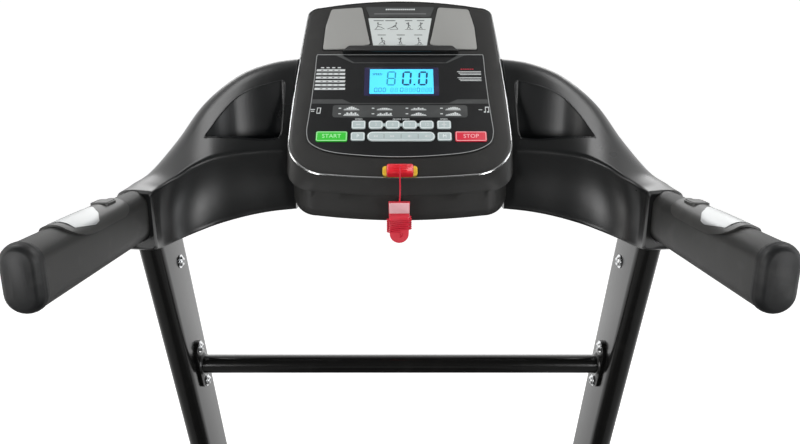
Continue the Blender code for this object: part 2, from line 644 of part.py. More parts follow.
# ---- Deck ---------------------------------------------------------------------------------------------------------
def deck_frame(steel, wood, plastic, rubber):
    for side, sign in SIDES:
        x = sign * BEAM_X
        z = (BEAM_BOTTOM + BEAM_TOP) / 2
        outline = rounded(BEAM_WIDTH, BEAM_TOP - BEAM_BOTTOM, 0.004, 2)
        bore = rounded(BEAM_WIDTH - 2 * WALL, BEAM_TOP - BEAM_BOTTOM - 2 * WALL, 0.003, 2)
        ends = (DECK_REAR + 0.022, PIVOT_Y + 0.070)
        beam = make(f"deck_beam_{side}", loft(along(outline, *ends, x, z), along(bore, *ends, x, z), False, False), steel)
        hole = helper(rod(PIVOT_RADIUS + 0.0006, sign * 0.240, sign * 0.290, PIVOT_Y, PIVOT_Z, 24), f"pivot_hole_{side}")
        boolean(beam, hole, "DIFFERENCE")
        if side == "l":
            strut_bracket(beam)

        skirt_in, low = 0.2865, 0.096
        section = [
            (SIDE_RAIL_IN, 0.1625), (skirt_in, 0.1625), (skirt_in, low), (SIDE_RAIL_OUT, low),
            (SIDE_RAIL_OUT, SIDE_RAIL_TOP - 0.006), (SIDE_RAIL_OUT - 0.006, SIDE_RAIL_TOP),
            (SIDE_RAIL_IN + 0.006, SIDE_RAIL_TOP), (SIDE_RAIL_IN, SIDE_RAIL_TOP - 0.005),
        ]
        rings = [[(sign * a, y, b) for a, b in section] for y in (DECK_REAR + 0.062, 0.3430)]
        make(f"side_rail_{side}", loft(rings), plastic)
        rear_cap(side, sign, plastic)
        foot = circle(0.022, 20)
        foot_rings = [[(x + a, -0.700 + b, z) for a, b in foot] for z in (0.0, 0.030, BEAM_BOTTOM - GAP)]
        make(f"deck_foot_{side}", loft(foot_rings), rubber)

    board_top = ROLLER_Z + ROLLER_RADIUS - 0.0006
    board = rounded(0.554, 1.040, 0.010, 2)
    rings = [[(a, -0.175 + b, z) for a, b in board] for z in (board_top - BOARD_THICKNESS, board_top)]
    make("running_board", loft(rings), wood)
    make("motor_bed", box((-0.2502, 0.4450, 0.0920), (0.2502, 0.5850, 0.0950)), steel)


def strut_bracket(beam):
    """Two ears under the left beam for the strut's upper eye. The pin is left out: see the strut."""
    y, z = STRUT_DECK
    outline = [(-0.014, 0.026), (-0.010, -0.008), (0.010, -0.008), (0.014, 0.026)]
    for i, offset in enumerate((-0.0145, 0.0115)):
        ear = helper(loft(across(outline, STRUT_X + offset, STRUT_X + offset + 0.003, y, z)), f"strut_lug_{i}")
        boolean(beam, ear, "UNION")


def rear_cap(side, sign, plastic):
    """The moulded cap that closes each side rail and covers the end of the rear roller's axle."""
    low, high = 0.086, SIDE_RAIL_TOP
    depth = 0.0617
    profile = [(0.0, low), (0.0, high), (depth - 0.024, high), (depth - 0.008, high - 0.008), (depth, high - 0.030),
               (depth, low + 0.012), (depth - 0.010, low)]
    rings = [[(sign * x, DECK_REAR + depth - a, z) for a, z in profile] for x in (0.2165, SIDE_RAIL_OUT)]
    cap = make(f"rear_cap_{side}", loft(rings), plastic)
    pocket = rounded(BEAM_WIDTH + 0.0012, BEAM_TOP - BEAM_BOTTOM + 0.0012, 0.004, 2)
    z = (BEAM_BOTTOM + BEAM_TOP) / 2
    cutter = helper(loft(along(pocket, DECK_REAR + 0.0210, DECK_REAR + 0.080, sign * BEAM_X, z)), f"beam_pocket_{side}")
    boolean(cap, cutter, "DIFFERENCE")
    axle = helper(rod(0.0095, sign * 0.2000, sign * 0.2560, REAR_ROLLER_Y, ROLLER_Z, 16), f"axle_pocket_{side}")
    boolean(cap, axle, "DIFFERENCE")


def turned(profile, y, z, count):
    """A solid of revolution about a line along X through (y, z), from (x, radius) pairs."""
    return loft([[(x, y + a, z + b) for a, b in circle(radius, count)] for x, radius in profile])


def rollers(steel, pulley_mat):
    stub, drum = 0.2495, 0.2080
    rear = [(-stub, 0.007), (-drum, 0.007), (-drum + 0.0002, ROLLER_RADIUS), (drum - 0.0002, ROLLER_RADIUS),
            (drum, 0.007), (stub, 0.007)]
    make("rear_roller", turned(rear, REAR_ROLLER_Y, ROLLER_Z, 28), steel, (0, REAR_ROLLER_Y, ROLLER_Z))
    left, right = DRIVE_X - DRIVE_WIDTH / 2, DRIVE_X + DRIVE_WIDTH / 2
    front = [(-stub, 0.007), (left, 0.007), (left + 0.0002, ROLLER_PULLEY_RADIUS), (right - 0.0002, ROLLER_PULLEY_RADIUS),
             (right, 0.007), (-drum, 0.0072), (-drum + 0.0002, ROLLER_RADIUS), (drum - 0.0002, ROLLER_RADIUS),
             (drum, 0.007), (stub, 0.007)]
    make("front_roller", turned(front, FRONT_ROLLER_Y, ROLLER_Z, 28), steel, (0, FRONT_ROLLER_Y, ROLLER_Z))
    half = DRIVE_WIDTH / 2
    motor = [(DRIVE_X - half - 0.006, 0.0040), (DRIVE_X - half, 0.0040), (DRIVE_X - half + 0.0002, MOTOR_PULLEY_RADIUS),
             (DRIVE_X + half, MOTOR_PULLEY_RADIUS), (DRIVE_X + half + 0.0002, 0.0060), (-0.2052, 0.0060)]
    make("motor_pulley", turned(motor, MOTOR_Y, MOTOR_Z, 24), pulley_mat, (0, MOTOR_Y, MOTOR_Z))


def loop_outline(a, radius_a, b, radius_b, steps):
    """The closed path of an open belt round two pulleys, as (y, z) points."""
    gap = Vector(b) - Vector(a)
    heading = math.atan2(gap.y, gap.x)
    tilt = math.acos((radius_a - radius_b) / gap.length)
    points = []
    for centre, radius, start, end in (
        (a, radius_a, heading + tilt, heading + math.tau - tilt),
        (b, radius_b, heading - tilt, heading + tilt),
    ):
        reach = radius / math.cos((end - start) / steps / 2)  # the flats, not the corners, lie on the circle
        for i in range(steps + 1):
            t = start + (end - start) * i / steps
            points.append((centre[0] + reach * math.cos(t), centre[1] + reach * math.sin(t)))
    return points


def belts(rubber):
    rear, front = (REAR_ROLLER_Y, ROLLER_Z), (FRONT_ROLLER_Y, ROLLER_Z)
    inside = ROLLER_RADIUS + GAP
    shapes = [loop_outline(rear, radius, front, radius, 14) for radius in (inside + BELT_THICKNESS, inside)]
    rings = [across(shape, -BELT_HALF, BELT_HALF) for shape in shapes]
    make("running_belt", loft(rings[0], rings[1], False, False), rubber)
    motor = (MOTOR_Y, MOTOR_Z)
    shapes = [
        loop_outline(front, ROLLER_PULLEY_RADIUS + grow, motor, MOTOR_PULLEY_RADIUS + grow, 12)
        for grow in (GAP + 0.0030, GAP)
    ]
    half = DRIVE_WIDTH / 2 - 0.001
    rings = [across(shape, DRIVE_X - half, DRIVE_X + half) for shape in shapes]
    make("drive_belt", loft(rings[0], rings[1], False, False), rubber)


def motor_and_hood(steel, plastic):
    body = [(-0.2045, 0.020), (-0.2000, 0.038), (-0.1960, MOTOR_RADIUS), (-0.0600, MOTOR_RADIUS), (-0.0560, 0.038),
            (-0.0500, 0.020)]
    motor = make("motor", turned(body, MOTOR_Y, MOTOR_Z, 28), steel)
    saddle = box((-0.180, MOTOR_Y - 0.030, 0.0950 + GAP), (-0.075, MOTOR_Y + 0.030, 0.160))
    boolean(motor, helper(saddle, "motor_saddle"), "UNION")
    hood(plastic)


HOOD_HALF = 0.289
HOOD_OUTER = ((0.3445, 0.1640), (0.3445, 0.1780), (0.372, 0.236), (0.400, 0.2480), (0.540, 0.2440), (0.580, 0.2200),
              (0.598, 0.1700), (0.598, 0.1420))
SWITCH = (0.215, 0.1790)  # x, z on the hood's nose


def hood(plastic):
    """The motor cover: a shell that is open below, over the motor and the front roller."""
    outer = HOOD_OUTER
    wall = 0.003
    inner = ((0.3475, 0.1640), (0.3475, 0.1775), (0.374, 0.2330), (0.401, 0.2450), (0.539, 0.2410), (0.5775, 0.2185),
             (0.595, 0.1695), (0.595, 0.1420))
    bm = bmesh.new()
    half = HOOD_HALF
    outer_rows = [[bm.verts.new((x, y, z)) for y, z in outer] for x in (-half, half)]
    inner_rows = [[bm.verts.new((x, y, z)) for y, z in inner] for x in (-half + wall, half - wall)]
    last = len(outer) - 1
    for rows in (outer_rows, inner_rows):
        for i in range(last):
            bm.faces.new((rows[0][i], rows[0][i + 1], rows[1][i + 1], rows[1][i]))
        for row in rows:
            bm.faces.new(row)
    for i in (0, last):
        bm.faces.new((outer_rows[0][i], outer_rows[1][i], inner_rows[1][i], inner_rows[0][i]))
    for out_row, in_row in zip(outer_rows, inner_rows):
        bm.faces.new((out_row[0], out_row[last], in_row[last], in_row[0]))
    cover = make("motor_hood", bm, plastic)
    x, z = SWITCH
    opening = box((x - 0.0155, 0.55, z - 0.0115), (x + 0.0155, 0.65, z + 0.0115))
    boolean(cover, helper(opening, "switch_opening"), "DIFFERENCE")


def power_switch(plastic):
    """The rocker in the hood's nose: it turns about its middle."""
    x, z = SWITCH
    y = 0.5925
    outline = [(-0.004, -0.0090), (0.0020, -0.0100), (0.0035, 0.0), (0.0075, 0.0100), (-0.004, 0.0090)]
    rings = across(outline, x - 0.0125, x + 0.0125, y, z)
    make("power_switch", loft(rings), plastic, (x, y, z))


# ---- Strut --------------------------------------------------------------------------------------------------------
def strut(steel, chrome):
    """The gas strut that lowers the deck gently. Its body turns on the base, and its rod slides out of the body.

    The rod's eye turns on a pin in the deck's bracket on the real machine. That pivot is open here.
    """
    base, deck = Vector(STRUT_BASE), Vector(STRUT_DECK)
    heading = (deck - base).normalized()
    side = Vector((-heading.y, heading.x))
    length = (deck - base).length
    body_length = length - 0.075

    def ring(distance, radius, count=20):
        points = []
        for a, b in circle(radius, count):
            centre = base + heading * distance + side * b
            points.append((STRUT_X + a, centre.x, centre.y))
        return points

    tube = [ring(0.018, 0.0105), ring(body_length, 0.0105)]
    bore = [ring(0.030, 0.0080), ring(body_length, 0.0080)]
    cylinder = make("strut_cylinder", loft(tube, bore, True, False), steel, (STRUT_X, base.x, base.y))
    eye = helper(rod(0.0080, STRUT_X - 0.0095, STRUT_X + 0.0095, base.x, base.y, 16), "strut_eye")
    neck = helper(loft([ring(0.004, 0.0060, 12), ring(0.020, 0.0060, 12)]), "strut_neck")
    boolean(cylinder, neck, "UNION")
    boolean(cylinder, eye, "UNION")
    hole = helper(rod(0.0046, STRUT_X - 0.012, STRUT_X + 0.012, base.x, base.y, 16), "strut_eye_hole")
    boolean(cylinder, hole, "DIFFERENCE")

    start = (0.040, 0.0074)
    profile = [start, (0.070, 0.0074), (0.0702, 0.0050), (length - 0.006, 0.0050)]
    rod_obj = make("strut_rod", loft([ring(d, r) for d, r in profile]), chrome, (STRUT_X, base.x, base.y))
    eye = helper(rod(0.0075, STRUT_X - 0.0085, STRUT_X + 0.0085, deck.x, deck.y, 16), "strut_rod_eye")
    boolean(rod_obj, eye, "UNION")


# ---- The treadmill ------------------------------------------------------------------------------------------------
def main():
    clear_scene()
    black_steel = finish("black_steel", (0.02, 0.02, 0.02), 0.35, 0.2)
    bare_steel = finish("bare_steel", (0.55, 0.55, 0.56), 0.35, 1.0)
    chrome = finish("chrome", (0.8, 0.8, 0.82), 0.12, 1.0)
    black_plastic = finish("black_plastic", (0.02, 0.02, 0.021), 0.3)
    rubber = finish("rubber", (0.015, 0.015, 0.015), 0.75)
    silver = finish("silver_plastic", (0.52, 0.52, 0.51), 0.4, 0.3)
    panel = finish("panel", (0.01, 0.012, 0.012), 0.3)
    display = finish("display", (0.1, 0.62, 0.8), 0.2)
    wood = finish("board", (0.30, 0.22, 0.14), 0.6)
    red = finish("red_plastic", (0.78, 0.03, 0.04), 0.35)
    green = finish("green_key", (0.06, 0.60, 0.08), 0.4)
    yellow = finish("yellow_plastic", (0.85, 0.62, 0.08), 0.4)
    cord = finish("red_cord", (0.75, 0.04, 0.06), 0.6)

    base_frame(black_steel, rubber)
    wheel_forks()
    transport_wheels(rubber)
    uprights(black_steel)
    crossbar(black_steel)
    handlebars(black_steel, rubber, black_plastic)
    arms(black_plastic)
    console(black_plastic, silver, display, panel, {"key_start": green, "key_stop": red})
    safety_key(red, yellow, cord)
    deck_frame(black_steel, wood, black_plastic, rubber)
    rollers(bare_steel, bare_steel)
    belts(rubber)
    motor_and_hood(black_steel, black_plastic)
    power_switch(red)
    strut(black_steel, chrome)


main()
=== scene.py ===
"""The finished looks of a folding home treadmill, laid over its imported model. Metres, +Z up, the runner faces +Y."""

import math

import bmesh
import bpy
from mathutils import Matrix, Vector
from mathutils.bvhtree import BVHTree


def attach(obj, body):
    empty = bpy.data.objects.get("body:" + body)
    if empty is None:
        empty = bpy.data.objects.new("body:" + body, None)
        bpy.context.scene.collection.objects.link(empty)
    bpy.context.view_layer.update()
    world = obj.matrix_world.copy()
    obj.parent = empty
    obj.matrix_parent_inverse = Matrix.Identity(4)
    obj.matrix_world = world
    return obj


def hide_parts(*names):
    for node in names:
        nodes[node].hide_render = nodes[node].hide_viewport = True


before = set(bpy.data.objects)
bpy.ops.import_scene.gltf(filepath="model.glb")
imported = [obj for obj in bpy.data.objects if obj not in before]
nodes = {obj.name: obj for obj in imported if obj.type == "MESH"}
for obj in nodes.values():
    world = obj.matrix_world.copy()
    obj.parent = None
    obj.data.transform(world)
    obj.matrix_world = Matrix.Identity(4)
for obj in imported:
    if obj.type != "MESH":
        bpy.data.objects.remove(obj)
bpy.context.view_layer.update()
scene = bpy.context.scene
SIDES = (("l", -1), ("r", 1))


# ---- The studio ---------------------------------------------------------------------------------------------------
# A white sweep of floor under a soft ceiling light, with a softbox at each side of the runner's place.
# The camera stands where a runner's chest would be, and looks a little down over the handlebars.
def aim(obj, place, target):
    obj.location = place
    obj.rotation_euler = (Vector(target) - Vector(place)).to_track_quat("-Z", "Y").to_euler()
    scene.collection.objects.link(obj)


scene.view_settings.view_transform = "Standard"
camera = bpy.data.objects.new("camera", bpy.data.cameras.new("camera"))
camera.data.sensor_width, camera.data.lens = 36, 27.9
camera.location = (0, -0.4865, 1.175)
camera.rotation_euler = (math.radians(90 - 13.8), 0, 0)
scene.collection.objects.link(camera)
scene.camera = camera

for name, place, target, size, power, tint in (
    ("left_ceiling_light", (-1.35, 0.15, 2.75), (-0.15, 0.25, 1.0), (0.9, 1.3), 15, (1, 1, 1)),
    ("right_ceiling_light", (1.35, 0.15, 2.75), (0.15, 0.25, 1.0), (0.9, 1.3), 15, (1, 1, 1)),
    ("left_softbox", (-2.3, -0.35, 1.25), (-0.1, 0.35, 0.95), (0.7, 2.2), 15, (1, 0.99, 0.97)),
    ("right_softbox", (2.3, -0.35, 1.25), (0.1, 0.35, 0.95), (0.7, 2.2), 15, (0.97, 0.99, 1)),
    ("left_front_lamp", (-1.15, -1.30, 0.90), (-0.1, 0.3, 1.0), (0.6, 0.6), 8, (1, 1, 1)),
    ("right_front_lamp", (1.15, -1.30, 0.90), (0.1, 0.3, 1.0), (0.6, 0.6), 8, (1, 1, 1)),
    ("front_fill", (0.0, -2.2, 1.6), (0, 0.35, 1.0), (1.6, 1.0), 16, (1, 1, 1)),
    ("rim_light", (0.0, 2.6, 2.3), (0, 0.4, 0.9), (3.6, 0.8), 20, (1, 1, 1)),
):
    lamp = bpy.data.lights.new(name, "AREA")
    lamp.shape, lamp.size, lamp.size_y = "RECTANGLE", *size
    lamp.energy, lamp.color = power, tint
    stand = bpy.data.objects.new(name, lamp)
    stand.visible_glossy = name != "front_fill"
    aim(stand, place, target)

world = bpy.data.worlds.new("studio")
scene.world = world
world.use_nodes = True
sky, wires = world.node_tree.nodes, world.node_tree.links
sky.clear()
world_out = sky.new("ShaderNodeOutputWorld")
seen, lit, choose = sky.new("ShaderNodeBackground"), sky.new("ShaderNodeBackground"), sky.new("ShaderNodeMixShader")
seen.inputs["Color"].default_value = (1, 1, 1, 1)
seen.inputs["Strength"].default_value = 1.05
direction, parts, ramp = (sky.new("ShaderNode" + kind) for kind in ("TexCoord", "SeparateXYZ", "MapRange"))
wires.new(direction.outputs["Generated"], parts.inputs[0])
wires.new(parts.outputs["Y"], ramp.inputs["Value"])
for socket, value in (("From Min", -0.30), ("From Max", 0.9), ("To Min", 0.06), ("To Max", 1.15)):
    ramp.inputs[socket].default_value = value
wires.new(ramp.outputs["Result"], lit.inputs["Strength"])
rays = sky.new("ShaderNodeLightPath")
wires.new(rays.outputs["Is Camera Ray"], choose.inputs["Fac"])
wires.new(lit.outputs[0], choose.inputs[1])
wires.new(seen.outputs[0], choose.inputs[2])
wires.new(choose.outputs[0], world_out.inputs["Surface"])

floor_paint = bpy.data.materials.new("floor_paint")
floor_paint.use_nodes = True
sweep, wires = floor_paint.node_tree.nodes, floor_paint.node_tree.links
shader = sweep["Principled BSDF"]
speckle, tone = sweep.new("ShaderNodeTexNoise"), sweep.new("ShaderNodeValToRGB")
speckle.inputs["Scale"].default_value = 3
tone.color_ramp.elements[0].color = (0.86, 0.86, 0.86, 1)
tone.color_ramp.elements[1].color = (0.90, 0.90, 0.90, 1)
wires.new(speckle.outputs["Fac"], tone.inputs["Fac"])
shader.inputs["Roughness"].default_value = 0.7
# Seen straight it is bright paper; what it throws back on the machine is dim in front and bright behind.
shader.inputs["Emission Color"].default_value = (1, 1, 1, 1)
spot, where, fade = (sweep.new("ShaderNode" + kind) for kind in ("TexCoord", "SeparateXYZ", "MapRange"))
wires.new(spot.outputs["Object"], where.inputs[0])
wires.new(where.outputs["Y"], fade.inputs["Value"])
for socket, value in (("From Min", 0.2), ("From Max", 2.4), ("To Min", 0.0), ("To Max", 1.0)):
    fade.inputs[socket].default_value = value
straight, glow = sweep.new("ShaderNodeLightPath"), sweep.new("ShaderNodeMix")
wires.new(straight.outputs["Is Camera Ray"], glow.inputs["Factor"])
wires.new(fade.outputs["Result"], glow.inputs["A"])
glow.inputs["B"].default_value = 0.72
wires.new(glow.outputs["Result"], shader.inputs["Emission Strength"])
paper = sweep.new("ShaderNodeMix")
paper.data_type = "RGBA"
wires.new(straight.outputs["Is Camera Ray"], paper.inputs["Factor"])
paper.inputs["A"].default_value = (0.16, 0.16, 0.16, 1)
wires.new(tone.outputs["Color"], paper.inputs["B"])
wires.new(paper.outputs["Result"], shader.inputs["Base Color"])
bm = bmesh.new()
bmesh.ops.create_circle(bm, cap_ends=True, segments=64, radius=30)
mesh = bpy.data.meshes.new("floor")
bm.to_mesh(mesh)
bm.free()
mesh.materials.append(floor_paint)
floor = bpy.data.objects.new("floor", mesh)
scene.collection.objects.link(floor)
floor.location.z = -0.0005


# ---- Safety key, lanyard and clip ---------------------------------------------------------------------------------
# A red moulded magnet key sits in a yellow slot at the console's lower edge. A limp red cord hangs from it to a
# clothes clip, and what is left of the cord is wound round the clip's waist.
def look(name, color, rough=0.5, metal=0.0, coat=0.0, coat_rough=0.1, grain=900.0, depth=0.15, patchy=0.25, worn=0.08):
    """A moulded, painted or plated finish: fine grain, uneven gloss and slightly uneven colour."""
    finish = bpy.data.materials.new(name)
    finish.use_nodes = True
    tree = finish.node_tree
    shader = tree.nodes["Principled BSDF"]
    skin = tree.nodes.new("ShaderNodeGroup")
    skin.node_tree = bpy.data.node_groups.get("moulded_skin") or moulded_skin()
    for socket, value in (("Color", (*color, 1)), ("Roughness", rough), ("Grain Size", grain), ("Patchy", patchy),
                          ("Wear", worn)):
        skin.inputs[socket].default_value = value
    bump = tree.nodes.new("ShaderNodeBump")
    bump.inputs["Strength"].default_value = depth
    bump.inputs["Distance"].default_value = 0.0003
    tree.links.new(skin.outputs["Color"], shader.inputs["Base Color"])
    tree.links.new(skin.outputs["Roughness"], shader.inputs["Roughness"])
    tree.links.new(skin.outputs["Height"], bump.inputs["Height"])
    tree.links.new(bump.outputs["Normal"], shader.inputs["Normal"])
    shader.inputs["Metallic"].default_value = metal
    shader.inputs["Coat Weight"].default_value = coat
    shader.inputs["Coat Roughness"].default_value = coat_rough
    return finish


def moulded_skin():
    """Colour, gloss and height of a moulded or painted skin."""
    group = bpy.data.node_groups.new("moulded_skin", "ShaderNodeTree")
    for name, kind, low, high in (("Color", "NodeSocketColor", 0, 1), ("Roughness", "NodeSocketFloat", 0, 1),
                                  ("Grain Size", "NodeSocketFloat", 0, 9000), ("Patchy", "NodeSocketFloat", 0, 1),
                                  ("Wear", "NodeSocketFloat", 0, 1)):
        socket = group.interface.new_socket(name, in_out="INPUT", socket_type=kind)
        if kind == "NodeSocketFloat":
            socket.min_value, socket.max_value = low, high
    for name, kind in (("Color", "NodeSocketColor"), ("Roughness", "NodeSocketFloat"), ("Height", "NodeSocketFloat")):
        group.interface.new_socket(name, in_out="OUTPUT", socket_type=kind)
    new, link = group.nodes.new, group.links.new
    given, result, place = new("NodeGroupInput"), new("NodeGroupOutput"), new("ShaderNodeTexCoord")
    grain, patches, rubbed = new("ShaderNodeTexNoise"), new("ShaderNodeTexNoise"), new("ShaderNodeTexNoise")
    for noise in (grain, patches, rubbed):
        link(place.outputs["Object"], noise.inputs["Vector"])
    link(given.outputs["Grain Size"], grain.inputs["Scale"])
    grain.inputs["Detail"].default_value = 2
    patches.inputs["Scale"].default_value, patches.inputs["Detail"].default_value = 7, 3
    rubbed.inputs["Scale"].default_value, rubbed.inputs["Detail"].default_value = 38, 6
    # Gloss wanders by a share of the roughness.
    swing, scaled, rough = new("ShaderNodeMapRange"), new("ShaderNodeMath"), new("ShaderNodeMath")
    for socket, value in (("From Min", 0.3), ("From Max", 0.7), ("To Min", -0.5), ("To Max", 0.5)):
        swing.inputs[socket].default_value = value
    link(patches.outputs["Fac"], swing.inputs["Value"])
    scaled.operation = "MULTIPLY"
    link(swing.outputs["Result"], scaled.inputs[0])
    link(given.outputs["Patchy"], scaled.inputs[1])
    rough.operation = "MULTIPLY_ADD"
    link(scaled.outputs[0], rough.inputs[0])
    link(given.outputs["Roughness"], rough.inputs[1])
    link(given.outputs["Roughness"], rough.inputs[2])
    link(rough.outputs[0], result.inputs["Roughness"])
    # Fine dull scuffs lighten the colour a little.
    scuffs, amount, mix = new("ShaderNodeMapRange"), new("ShaderNodeMath"), new("ShaderNodeMix")
    scuffs.inputs["From Min"].default_value, scuffs.inputs["From Max"].default_value = 0.55, 0.8
    link(rubbed.outputs["Fac"], scuffs.inputs["Value"])
    amount.operation = "MULTIPLY"
    link(scuffs.outputs["Result"], amount.inputs[0])
    link(given.outputs["Wear"], amount.inputs[1])
    mix.data_type = "RGBA"
    link(amount.outputs[0], mix.inputs["Factor"])
    link(given.outputs["Color"], mix.inputs["A"])
    mix.inputs["B"].default_value = (0.45, 0.44, 0.42, 1)
    link(mix.outputs["Result"], result.inputs["Color"])
    link(grain.outputs["Fac"], result.inputs["Height"])
    return group


def piece(name, bm, finish, body, stands_for=(), sharp=38):
    """Keeps a finished bmesh as a smooth-shaded piece that rides on a body."""
    bmesh.ops.remove_doubles(bm, verts=bm.verts, dist=1e-6)
    bmesh.ops.recalc_face_normals(bm, faces=bm.faces)
    mesh = bpy.data.meshes.new(name)
    bm.to_mesh(mesh)
    bm.free()
    mesh.shade_smooth()
    mesh.set_sharp_from_angle(angle=math.radians(sharp))
    mesh.materials.append(finish)
    obj = bpy.data.objects.new(name, mesh)
    scene.collection.objects.link(obj)
    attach(obj, body)
    if stands_for:
        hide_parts(*stands_for)
    return obj


def loop_of(bm, points):
    verts = [bm.verts.new(p) for p in points]
    return [bm.edges.new((verts[i], verts[(i + 1) % len(verts)])) for i in range(len(verts))]


def lofted(rings, caps=(True, True), bm=None):
    """Bridges closed rings of points into one skin, and caps its ends."""
    bm = bm or bmesh.new()
    loops = [loop_of(bm, ring) for ring in rings]
    for near, far in zip(loops, loops[1:]):
        bmesh.ops.bridge_loops(bm, edges=near + far)
    for wanted, loop in zip(caps, (loops[0], loops[-1])):
        if wanted:
            bmesh.ops.contextual_create(bm, geom=loop)
    return bm


def rounded(width, height, radius, steps=6):
    """A rounded rectangle round the origin, as (a, b) points."""
    a, b, out = width / 2 - radius, height / 2 - radius, []
    for quarter, (ca, cb) in enumerate(((a, b), (-a, b), (-a, -b), (a, -b))):
        for i in range(steps + 1):
            t = math.pi / 2 * (quarter + i / steps)
            out.append((ca + radius * math.cos(t), cb + radius * math.sin(t)))
    return out


# The console's own axes: x across, u up along the face, n out of the face.
TILT, FACE_Y, FACE_Z = math.radians(50), 0.3135, 1.037


def on_face(x, u, n):
    sine, cosine = math.sin(TILT), math.cos(TILT)
    return Vector((x, FACE_Y + u * cosine - n * sine, FACE_Z + u * sine + n * cosine))


red_plastic = look("red_plastic", (0.80, 0.020, 0.035), 0.30, coat=0.5, grain=600, depth=0.05)
yellow_plastic = look("yellow_plastic", (0.86, 0.60, 0.05), 0.38, grain=700, depth=0.05)
SOCKET_U, KEY_U = 0.0102, 0.0072


def face_block(x, u, width, height, radius, layers, steps=5):
    """A rounded block on the console's face: each layer is (n, how far it stands in from the block's outline)."""
    rings = []
    for n, inset in layers:
        shape = rounded(width - 2 * inset, height - 2 * inset, max(radius - inset, 0.0004), steps)
        rings.append([on_face(x + a, u + b, n) for a, b in shape])
    return lofted(rings)


socket_bm = face_block(0, SOCKET_U, 0.046, 0.0145, 0.004, ((0.0003, 0), (0.0028, 0), (0.0034, 0.0006)))
piece("safety_slot", socket_bm, yellow_plastic, "frame", ("safety_socket",))
key_bm = face_block(0, KEY_U, 0.0352, 0.015, 0.0028,
                    ((0.0037, 0.0004), (0.0042, 0), (0.0120, 0), (0.0136, 0.0006), (0.0146, 0.0020)))
for u in (-0.0035, 0.0, 0.0035):
    bmesh.ops.create_cube(key_bm, size=1, matrix=Matrix.Translation(on_face(0.0, KEY_U + u, 0.0147))
                          @ Matrix.Rotation(TILT, 4, "X") @ Matrix.Diagonal((0.018, 0.0011, 0.0008, 1)))
piece("safety_magnet_key", key_bm, red_plastic, "safety_key", ("safety_key",))

# The clip: two jaws with a rounded lower end, hinged on a pin behind the winding.
CLIP_X, CLIP_Y, CLIP_TOP, CLIP_LOW = -0.001, 0.2965, 1.0094, 0.9552
clip_pink = look("clip_plastic", (0.86, 0.06, 0.09), 0.16, coat=0.9, coat_rough=0.06, grain=400, depth=0.04)
for jaw, (near, far) in (("front", (-0.0052, -0.0011)), ("back", (0.0011, 0.0052))):
    outline = [(0.0138, CLIP_TOP), (-0.0138, CLIP_TOP)]
    for i in range(17):
        t = math.pi + math.pi * i / 16
        outline.append((0.0125 * math.cos(t), CLIP_LOW + 0.0125 + 0.0122 * math.sin(t)))
    clip_bm = lofted([[(CLIP_X + x, CLIP_Y + y, z) for x, z in outline] for y in (near, far)])
    rim = [e for e in clip_bm.edges if abs(e.verts[0].co.y - e.verts[1].co.y) < 1e-5]
    bmesh.ops.bevel(clip_bm, geom=rim, offset=0.0007, segments=2, profile=0.5, affect="EDGES", material=-1)
    stands_for = ("lanyard_clip",) if jaw == "front" else ()
    piece(f"clip_jaw_{jaw}", clip_bm, clip_pink, "safety_key", stands_for)
# A pale plate on the front jaw's upper part, its pale pink colour a painted highlight, with a row of teeth below it.
clip_pale_highlight = look("clip_highlight_plastic", (0.92, 0.50, 0.53), 0.30, coat=0.6, grain=400, depth=0.04)
thumb_bm = lofted([[(CLIP_X + a, y, 1.0022 + b) for a, b in rounded(0.0262 - 2 * d, 0.0136 - 2 * d, 0.0012)]
                   for y, d in ((0.2913, 0), (0.2903, 0), (0.2898, 0.0005))])
piece("clip_highlight_plate", thumb_bm, clip_pale_highlight, "safety_key")
teeth_bm = bmesh.new()
for i in range(12):
    bmesh.ops.create_cube(teeth_bm, size=1, matrix=Matrix.Translation((CLIP_X + 0.0020 * (i - 5.5), 0.2909, 0.9938))
                          @ Matrix.Diagonal((0.0010, 0.0010, 0.0022, 1)))
piece("clip_teeth", teeth_bm, clip_pink, "safety_key")
pin_bm = bmesh.new()
bmesh.ops.create_cone(pin_bm, cap_ends=True, segments=16, radius1=0.0011, radius2=0.0011, depth=0.024,
                      matrix=Matrix.Translation((CLIP_X, CLIP_Y, 0.977)) @ Matrix.Rotation(math.pi / 2, 4, "Y"))
steel_pin = look("clip_pin_steel", (0.6, 0.6, 0.62), 0.25, metal=1, grain=500, depth=0.05)
piece("clip_pin", pin_bm, steel_pin, "safety_key")

# The cord: 1.9 mm thick, from the key to the clip, then in turns round the clip's waist and into its lower end.
CORD = 0.0019
route = [(0.0, 0.3066, 1.0530), (0.0, 0.3040, 1.0530), (0.0, 0.3012, 1.0522), (0.0, 0.2988, 1.0504),
         (0.0, 0.2971, 1.0473), (0.0, 0.2964, 1.0430), (0.0, 0.2961, 1.0380), (0.0001, 0.2960, 1.0320),
         (0.0002, 0.2961, 1.0260),
         (0.0000, 0.2963, 1.0190), (-0.0004, 0.2965, 1.0120), (-0.0002, 0.2965, 1.0040), (0.0016, 0.2965, 0.9975),
         (0.0054, 0.2965, 0.9925), (0.0100, 0.2966, 0.9896), (0.0134, 0.2968, 0.9884)]
TURNS, PER_TURN, TOP_TURN, PITCH = 7, 28, 0.9890, 0.0026
waist = rounded(0.0285 + 0.0022, 0.0104 + 0.0028, 0.0062, 6)
lengths = [0.0]
for i in range(len(waist)):
    a, b = waist[i], waist[(i + 1) % len(waist)]
    lengths.append(lengths[-1] + math.dist(a, b))


